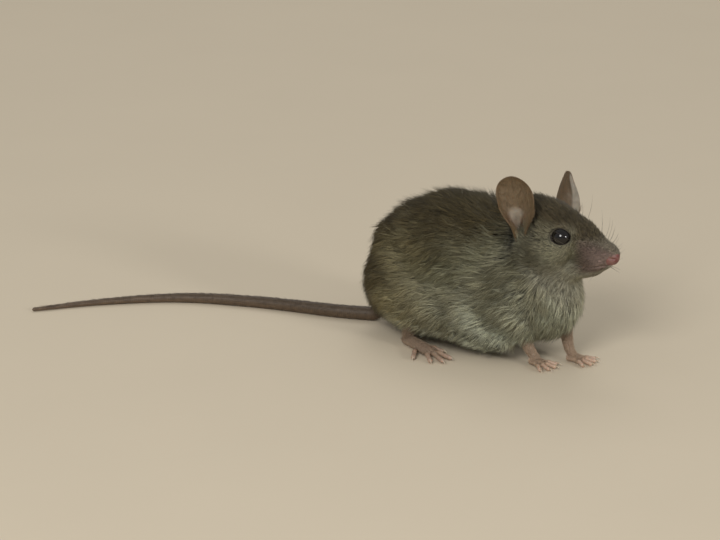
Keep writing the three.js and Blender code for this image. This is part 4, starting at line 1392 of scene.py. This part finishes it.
class MOUSE_OT_skin(bpy.types.Operator):
    """Builds the one skin: body, ears, lids, legs, feet and tail, joined with no seam"""

    bl_idname = "mouse.skin"
    bl_label = "Skin"

    def execute(self, context):
        body = new_object("skin_body", *marked(shell(body_form()), BODY), millimetres=True)
        limbs = [leg_shell(FORE[side]["leg"], FORE_THICK, side) for side in (RIGHT, LEFT)]
        limbs += [leg_shell(HIND_LEG, HIND_THICK, side) for side in (RIGHT, LEFT)]
        for foot in feet():
            heel, yaw, _, palm, _, _ = foot
            limbs += [palm_shell(heel, yaw, palm)] + [toe_shell(*path) for path in toe_paths(*foot)]
        added = in_collection("added", [ear_shell(side) for side in (RIGHT, LEFT)] + limbs + [tail_shell()])
        lids = in_collection("lids", [lid_shell(side) for side in (RIGHT, LEFT)])
        taken = in_collection("taken", [lid_cutter(side) for side in (RIGHT, LEFT)])
        for box, operation in ((added, "UNION"), (taken, "DIFFERENCE"), (lids, "UNION")):
            for one in box.objects:
                modifier = body.modifiers.new(one.name, "BOOLEAN")
                modifier.operation, modifier.solver, modifier.object = operation, "MANIFOLD", one
        joined = bpy.data.meshes.new_from_object(body.evaluated_get(context.evaluated_depsgraph_get()))
        self.finish(joined)
        for box in (added, taken, lids):
            for one in list(box.objects):
                bpy.data.objects.remove(one)
            bpy.data.collections.remove(box)
        bpy.data.objects.remove(body)
        return {"FINISHED"}

    def finish(self, joined):
        """Puts the joined skin in place, names the part that each face belongs to and gives it its
        finishes."""
        joined.calc_loop_triangles()
        points = read(joined.vertices, "co", np.float32, 3).astype(float)
        faces = read(joined.loop_triangles, "vertices", np.int32, 3)
        kept = ("part", "reach", "face")
        marks = {key: read(joined.attributes[key].data, "value", np.float32) for key in kept}
        part = marks.pop("part")
        edges = np.concatenate([faces[:, [0, 1]], faces[:, [1, 2]], faces[:, [2, 0]]])
        for _ in range(4):
            lost = (part[edges[:, 0]] < 0.5) & (part[edges[:, 1]] > 0.5)
            part[edges[lost, 0]] = part[edges[lost, 1]]
        marks.update(body_marks(points), bare=smoothstep(0.05, 1.3, skin_distance(points)))
        skin = new_object("skin", points, faces, marks, SKIN_FINISHES)
        index = np.rint(np.median(part[faces], axis=1)).astype(np.int32) - 1
        nose = nose_pad(to_head(points[faces].mean(1))) < 1
        nose = nose & (index == BODY - 1)
        index = np.where(nose, len(SKIN_FINISHES) - 1, np.clip(index, 0, LID - 1)).astype(np.int32)
        skin.data.polygons.foreach_set("material_index", index)
        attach(skin, "root")
        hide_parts(*[name for name in frame["nodes"] if not name.startswith("eye_")])


class MOUSE_OT_eyes(bpy.types.Operator):
    """Builds the two eyes, each a ball with a low clear dome"""

    bl_idname = "mouse.eyes"
    bl_label = "Eyes"

    def execute(self, context):
        rings, sides = 60, 80
        swing, turn = np.linspace(0.02, math.pi - 0.02, rings)[:, None, None], circle(sides)[None, :, None]
        radius = EYE_RADIUS * (1 + 0.025 * bell(swing, 0.7))
        iris = np.clip(along_rings(swing.ravel() / (math.pi / 2), sides), 0, 1)
        for side, name in SIDES:
            axis, across, up = gaze(side)
            out = np.cos(swing) * axis + np.sin(swing) * (np.cos(turn) * across + np.sin(turn) * up)
            surface = shell(eye_middle(side) + out * radius)
            made = new_object(f"eyeball_{name}", *surface, {"iris": iris}, ["Black eye"])
            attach(made, "root")
            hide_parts(f"eye_{name}")
        return {"FINISHED"}


class MOUSE_OT_claws(bpy.types.Operator):
    """Builds the claws, one curved cone at the end of every toe"""

    bl_idname = "mouse.claws"
    bl_label = "Claws"

    def execute(self, context):
        size = context.scene.mouse_sizes.claw_length * 1000
        t = np.linspace(0, 1, 16)
        width = 0.2 * (1 - t) ** 0.7 + 0.012
        shells = []
        for root, angle, length, radius in (path for foot in feet() for path in toe_paths(*foot)):
            base = toe_line(root, angle, length, radius)[-5]
            line = base + np.outer(t * (size + 0.35), level((0, 0), angle, 1))
            high = base[2] + radius * 0.3
            line[:, 2] = high + 0.16 * np.sin(np.pi * t * 0.9) - (high - 0.1) * t**2
            shells.append((*shell(tube(line, width * 0.75, width, 10), 0.01), along_rings(t, 10)))
        made = new_object("claws", *join(shells), ["Claw horn"])
        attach(made, "root")
        return {"FINISHED"}


class MOUSE_OT_whiskers(bpy.types.Operator):
    """Builds the whiskers of the muzzle and the few over each eye"""

    bl_idname = "mouse.whiskers"
    bl_label = "Whiskers"

    def execute(self, context):
        shells = []
        rng = np.random.default_rng(WHISKER_SEED)
        for side in (LEFT, RIGHT):
            shells += self.one_side(side, context.scene.mouse_sizes, rng)
        made = new_object("whiskers", *join(shells), ["Whisker hair"])
        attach(made, "root")
        return {"FINISHED"}

    def one_side(self, side, sizes, rng):
        """Four rows of whiskers, longer to the rear, and three single ones, each bowed by a curve that grows
        as t to the power 2.2 along it."""
        count = sizes.whiskers
        i = np.arange(count)
        row, column = (i % 4) / 3, (i // 4) / max((count - 1) // 4, 1)
        x, up = (0.12 * rng.normal(size=count) for _ in range(2))
        root = stack(14.6 - 4.0 * column + x, 1.5 + 0.9 * column, -1.6 - 2.6 * row)
        root = np.concatenate([root, ((7.6, 3.4, 3.0), (6.4, 3.6, 3.2), (0.5, 6.0, -2.5))])
        out = stack(0.5 - 0.7 * column, 0.62 + 0.2 * column, 0.85 - 1.15 * row + up)
        out = unit(np.concatenate([out, ((0.1, 0.5, 0.9), (-0.2, 0.6, 0.8), (-0.2, 1, -0.3))]))
        length = sizes.whisker_length * 1000 * (0.3 + 0.7 * column) * (0.8 + 0.2 * rng.random(count))
        length = np.concatenate([length, (6.0, 5.0, 4.0)])
        root, out = from_head(on_side(root, side)), on_side(out, side) @ HEAD_TURN.T
        for _ in range(3):
            normal, away = slope(root)
            root = root - normal * (away + 0.1)[:, None]
        bend = stack(-1.0, side * 0.1, rng.normal(size=len(root)) * 0.25 - 0.15)
        t = np.linspace(0, 1, 12)
        thick = 0.026 * (1 - t) ** 0.8 + 0.006
        for start, way, reach_on, bow in zip(root, out, length, bend):
            line = start + np.outer(t * reach_on, way) + np.outer(t**2.2 * reach_on * 0.26, bow)
            yield *shell(tube(line, thick, thick, 4, (0.1, 0.3, 1.0)), 0.02), along_rings(t, 4)


class MOUSE_OT_coat(bpy.types.Operator):
    """Grows the coat of the trunk and head, as tufts of thin hairs that lie along the body"""

    bl_idname = "mouse.coat"
    bl_label = "Coat"

    def execute(self, context):
        sizes = context.scene.mouse_sizes
        clumps = sizes.clumps // 1
        rng = np.random.default_rng(COAT_SEED)
        arrays, marks, share = grow_coat(body_form(), clumps, sizes.tuft_length * 1000, rng)
        bands = np.searchsorted(np.quantile(share, (0.25, 0.5, 0.75)), share)
        for band, name in enumerate(("rump", "flank", "neck", "face")):
            for side, side_name in SIDES:
                mine = (bands == band) & ((arrays["root"][:, 1] >= 0) == (side == LEFT))
                if mine.sum() * len(HAIR_FACES) >= MOST_TRIANGLES:
                    raise RuntimeError(f"the {name} has too many hairs for one piece")
                own, own_marks = ({k: v[mine] for k, v in values.items()} for values in (arrays, marks))
                hair_piece(f"coat_{name}_{side_name}", "Agouti hair", own_marks, **own)
        return {"FINISHED"}


def short_hair(
    name, finish, rng, root, normal, flow, length, uv, keep=slice(None), lift=0.3, width=0.05, tone=0.5
):
    """Short straight hairs over a bare part, leaning along its flow: each rises by its own angle near the
    lift over half its length and lies flatter over the rest."""
    length = np.broadcast_to(length, len(root))
    root, normal, flow, uv, length = (v[keep] for v in (root, normal, flow, uv, length))
    count = len(root)
    flow = turned(flattened(flow, normal), normal, rng.normal(size=count) * 0.16)
    half = length * (0.7 + 0.6 * rng.random(count)) * 0.5
    high = lift * (0.7 + 0.6 * rng.random(count))
    rise = normal * (half * np.sin(high))[:, None]
    middle = root + flow * (half * np.cos(high))[:, None] + rise
    tip = middle + flow * half[:, None] + rise * 0.3
    marks = {**body_marks(root), "tone": np.clip(tone + 0.5 * (rng.random(count) - 0.5), 0, 1)}
    marks["bare"] = smoothstep(0.2, 2.2, skin_distance(root))
    width = width * (0.8 + 0.4 * rng.random(count))
    hair_piece(name, finish, marks, root - normal * 0.04, middle, tip, normal, width, uv)


class MOUSE_OT_short_hair(bpy.types.Operator):
    """Grows the short hair of the ears, legs, feet and tail"""

    bl_idname = "mouse.short_hair"
    bl_label = "Short hair"

    def execute(self, context):
        rng = np.random.default_rng(SHORT_HAIR_SEED)
        for side, name in SIDES:
            self.ear(side, name, rng)
            self.fringe(side, name, rng)
            self.limbs(side, name, rng)
        self.tail(rng)
        return {"FINISHED"}

    def ear(self, side, name, rng):
        """Hair up the back of the ear, thick at its root, and a thin down inside and on the rim."""
        h, c = rng.random(EAR_HAIRS) ** 1.4 * 0.97, rng.random(EAR_HAIRS) * 2 - 1
        inner = rng.random(EAR_HAIRS) < 0.34
        middle, normal = ear_surface(side, h, c * 0.97)
        ahead, _ = ear_surface(side, h + 0.01, c * 0.97)
        normal = np.where(inner[:, None], normal, -normal)
        thick = ear_thickness(h) / 2 * (1 - np.abs(c) ** 6)
        root = middle + normal * (thick + np.where(inner, 0.05, 0.0))[:, None]
        length = np.where(inner, 0.6, 0.45 + 1.1 * (1 - smoothstep(0.0, 0.35, h)))
        uv = stack(np.where(inner, 0.02, 0.52) + 0.46 * h, 0.02 + 0.48 * (c + 1))
        hair = (root, normal, ahead - middle, length, uv, ~inner | (h > 0.3) | (np.abs(c) > 0.6))
        short_hair(f"hair_ear_{name}", "Ear hair", rng, *hair, lift=0.2, width=0.032)

    def fringe(self, side, name, rng):
        """Longer hair from the lower part of the ear's front and rear edges, in which they fade into the
        coat."""
        draw = lambda: rng.random(FRINGE_HAIRS)
        front = draw() < 0.7
        h = np.where(front, draw() * 0.36 + 0.05, draw() * 0.3 - 0.16)
        c = -side * np.where(front, 1.0 - 0.3 * draw() ** 2, -1.0 + 0.2 * draw() ** 2)
        root, normal = ear_surface(side, h, c)
        rim = unit(ear_surface(side, h + 0.02, c)[0] - root)
        outward = np.cross(rim, normal) * np.sign(c)[:, None]
        flow = rim + normal * (0.15 + 0.25 * draw())[:, None] + outward * 0.1
        length = np.where(front, 2.0 + 1.0 * draw(), 1.6) * np.interp(h, (0.2, 0.4), (1, 0.5))
        hair = (root, outward, flow, length, stack(0.52 + 0.4 * (h + 0.2), 0.6 + 0.3 * draw()))
        short_hair(f"hair_fringe_{name}", "Ear hair", rng, *hair, lift=0.15, width=0.055, tone=0.6)

    def limbs(self, side, name, rng):
        """Hair down the legs to the wrist and ankle, thinning over the top of each foot and the roots of the
        toes."""
        sets = []
        for leg, thick in ((FORE[side]["leg"], FORE_THICK), (HIND_LEG, HIND_THICK)):
            rings, sides = 60, 24
            line, wide = leg_line(leg, thick, side, rings)
            row, column = rng.random(LEG_HAIRS) * 0.9 * rings, rng.random(LEG_HAIRS) * sides
            root = grid_at(tube(line, wide, wide, sides), row, column)
            i = row.astype(int)
            uv = 0.02 + 0.44 * stack(row / rings, column / sides)
            flow = np.gradient(line, axis=0)[i]
            sets.append((root, unit(root - line[i]), flow, np.full(LEG_HAIRS, 1.0), uv))
        for heel, yaw, foot_side, palm, _, _ in feet():
            if foot_side != side:
                continue
            count = int(FOOT_HAIRS * palm["length"] ** 0.8)
            t, angle = rng.random(count) ** 1.1, rng.random(count) * np.pi
            along, beside = level((0, 0), yaw, 1), level((0, 0), yaw + np.pi / 2, 1)
            height, half, tall = palm_section(palm, t)
            normal = np.outer(np.cos(angle), beside) + np.outer(np.sin(angle), (0, 0, 1))
            root = level(heel, yaw, 0) + np.outer(t * palm["length"] * 1.08, along)
            root += np.outer(np.cos(angle) * half, beside)
            root[:, 2] += height + np.sin(angle) * tall
            uv = 0.52 + 0.44 * stack(t, angle / np.pi)
            sets.append((root, normal, np.broadcast_to(along, root.shape), np.full(count, 0.62), uv))
        hair = [np.concatenate(values) for values in zip(*sets)]
        short_hair(f"hair_legs_{name}", "Leg hair", rng, *hair, keep=hair[0][:, 2] > 0.4)

    def tail(self, rng):
        """Sparse fine hair along the tail, from the edge of each scale."""
        rings, sides = 700, 24
        line, t = tail_line(rings)
        row = (np.floor(rng.random(TAIL_HAIRS) * TAIL_SCALES) + 0.95) / TAIL_SCALES * (rings - 10)
        column = rng.random(TAIL_HAIRS) * sides
        root = grid_at(tube(line, tail_radius(t), tail_radius(t), sides), row, column)
        i = row.astype(int)
        uv = 0.02 + 0.96 * stack(row / rings, column / sides)
        hair = (root, unit(root - line[i]), line[i + 1] - line[i], 0.8, uv, root[:, 2] > 0.3)
        short_hair("hair_tail", "Tail hair", rng, *hair, lift=0.32, width=0.04)


class MOUSE_OT_stage(bpy.types.Operator):
    """Sets the floor, the soft lights and the camera"""

    bl_idname = "mouse.stage"
    bl_label = "Stage"

    def execute(self, context):
        scene = context.scene
        self.floor()
        for name, azimuth, elevation, distance, size, power, colour in LIGHTS:
            lamp = bpy.data.lights.new(name, "AREA")
            lamp.shape, lamp.size, lamp.energy, lamp.color = "DISK", size, power, colour
            az, el = math.radians(azimuth), math.radians(elevation)
            out = Vector((math.sin(az) * math.cos(el), -math.cos(az) * math.cos(el), math.sin(el)))
            self.put(lamp, -out, distance)
        world = bpy.data.worlds.new("Studio")
        world.use_nodes = True
        background = world.node_tree.nodes["Background"]
        background.inputs["Color"].default_value = WORLD_COLOUR
        background.inputs["Strength"].default_value = WORLD_STRENGTH
        scene.world = world
        scene.view_settings.view_transform = "Standard"
        lens = bpy.data.cameras.new("camera")
        lens.lens, lens.sensor_width, lens.clip_start = LENS, SENSOR, 0.01
        scene.camera = self.put(lens, Vector(LOOK), CAMERA_DISTANCE)
        return {"FINISHED"}

    def put(self, data, look, distance):
        """A light or camera that looks along a direction at the middle of the mouse from that far off."""
        one = bpy.data.objects.new(data.name, data)
        one.location = Vector(np.array(AIM) * 0.001) - look * distance
        one.rotation_mode = "QUATERNION"
        one.rotation_quaternion = look.to_track_quat("-Z", "Y")
        bpy.context.scene.collection.objects.link(one)
        return one

    def floor(self):
        """The level floor under the mouse, a square of squares."""
        t = (np.linspace(0, 1, FLOOR_SQUARES + 1) - 0.5) * FLOOR_SIZE
        points = stack(*np.meshgrid(t, t, indexing="ij"), 0.0).reshape(-1, 3) - ORIGIN
        row = FLOOR_SQUARES + 1
        a = (np.arange(FLOOR_SQUARES)[:, None] * row + np.arange(FLOOR_SQUARES)).ravel()
        faces = np.concatenate([stack(a, a + row, a + row + 1), stack(a, a + row + 1, a + 1)])
        new_object("floor", points, faces, materials=["Floor card"])


class MOUSE_PT_panel(bpy.types.Panel):
    """Lists what can be built and what can be changed"""

    bl_idname = "MOUSE_PT_panel"
    bl_label = "House mouse"
    bl_space_type = "VIEW_3D"
    bl_region_type = "UI"
    bl_category = "Mouse"

    def draw(self, context):
        for operator in OPERATORS:
            self.layout.operator(operator.bl_idname)
        for settings in (context.scene.mouse_sizes, context.scene.mouse_colours):
            box = self.layout.box()
            for key in settings.bl_rna.properties.keys():
                if key not in {"rna_type", "name"}:
                    box.prop(settings, key)


OPERATORS = (
    MOUSE_OT_materials,
    MOUSE_OT_stage,
    MOUSE_OT_skin,
    MOUSE_OT_eyes,
    MOUSE_OT_claws,
    MOUSE_OT_whiskers,
    MOUSE_OT_coat,
    MOUSE_OT_short_hair,
)
CLASSES = (MouseSizes, MouseColours, *OPERATORS, MOUSE_PT_panel)


def register():
    """Registers the classes and puts the settings on the scene."""
    for one in CLASSES:
        bpy.utils.register_class(one)
    bpy.types.Scene.mouse_sizes = PointerProperty(type=MouseSizes)
    bpy.types.Scene.mouse_colours = PointerProperty(type=MouseColours)


def unregister():
    """Takes the settings and classes away again."""
    del bpy.types.Scene.mouse_colours
    del bpy.types.Scene.mouse_sizes
    for one in reversed(CLASSES):
        bpy.utils.unregister_class(one)


def main():
    register()
    for operator in OPERATORS:
        family, name = operator.bl_idname.split(".")
        getattr(getattr(bpy.ops, family), name)()


if __name__ == "__main__":
    main()
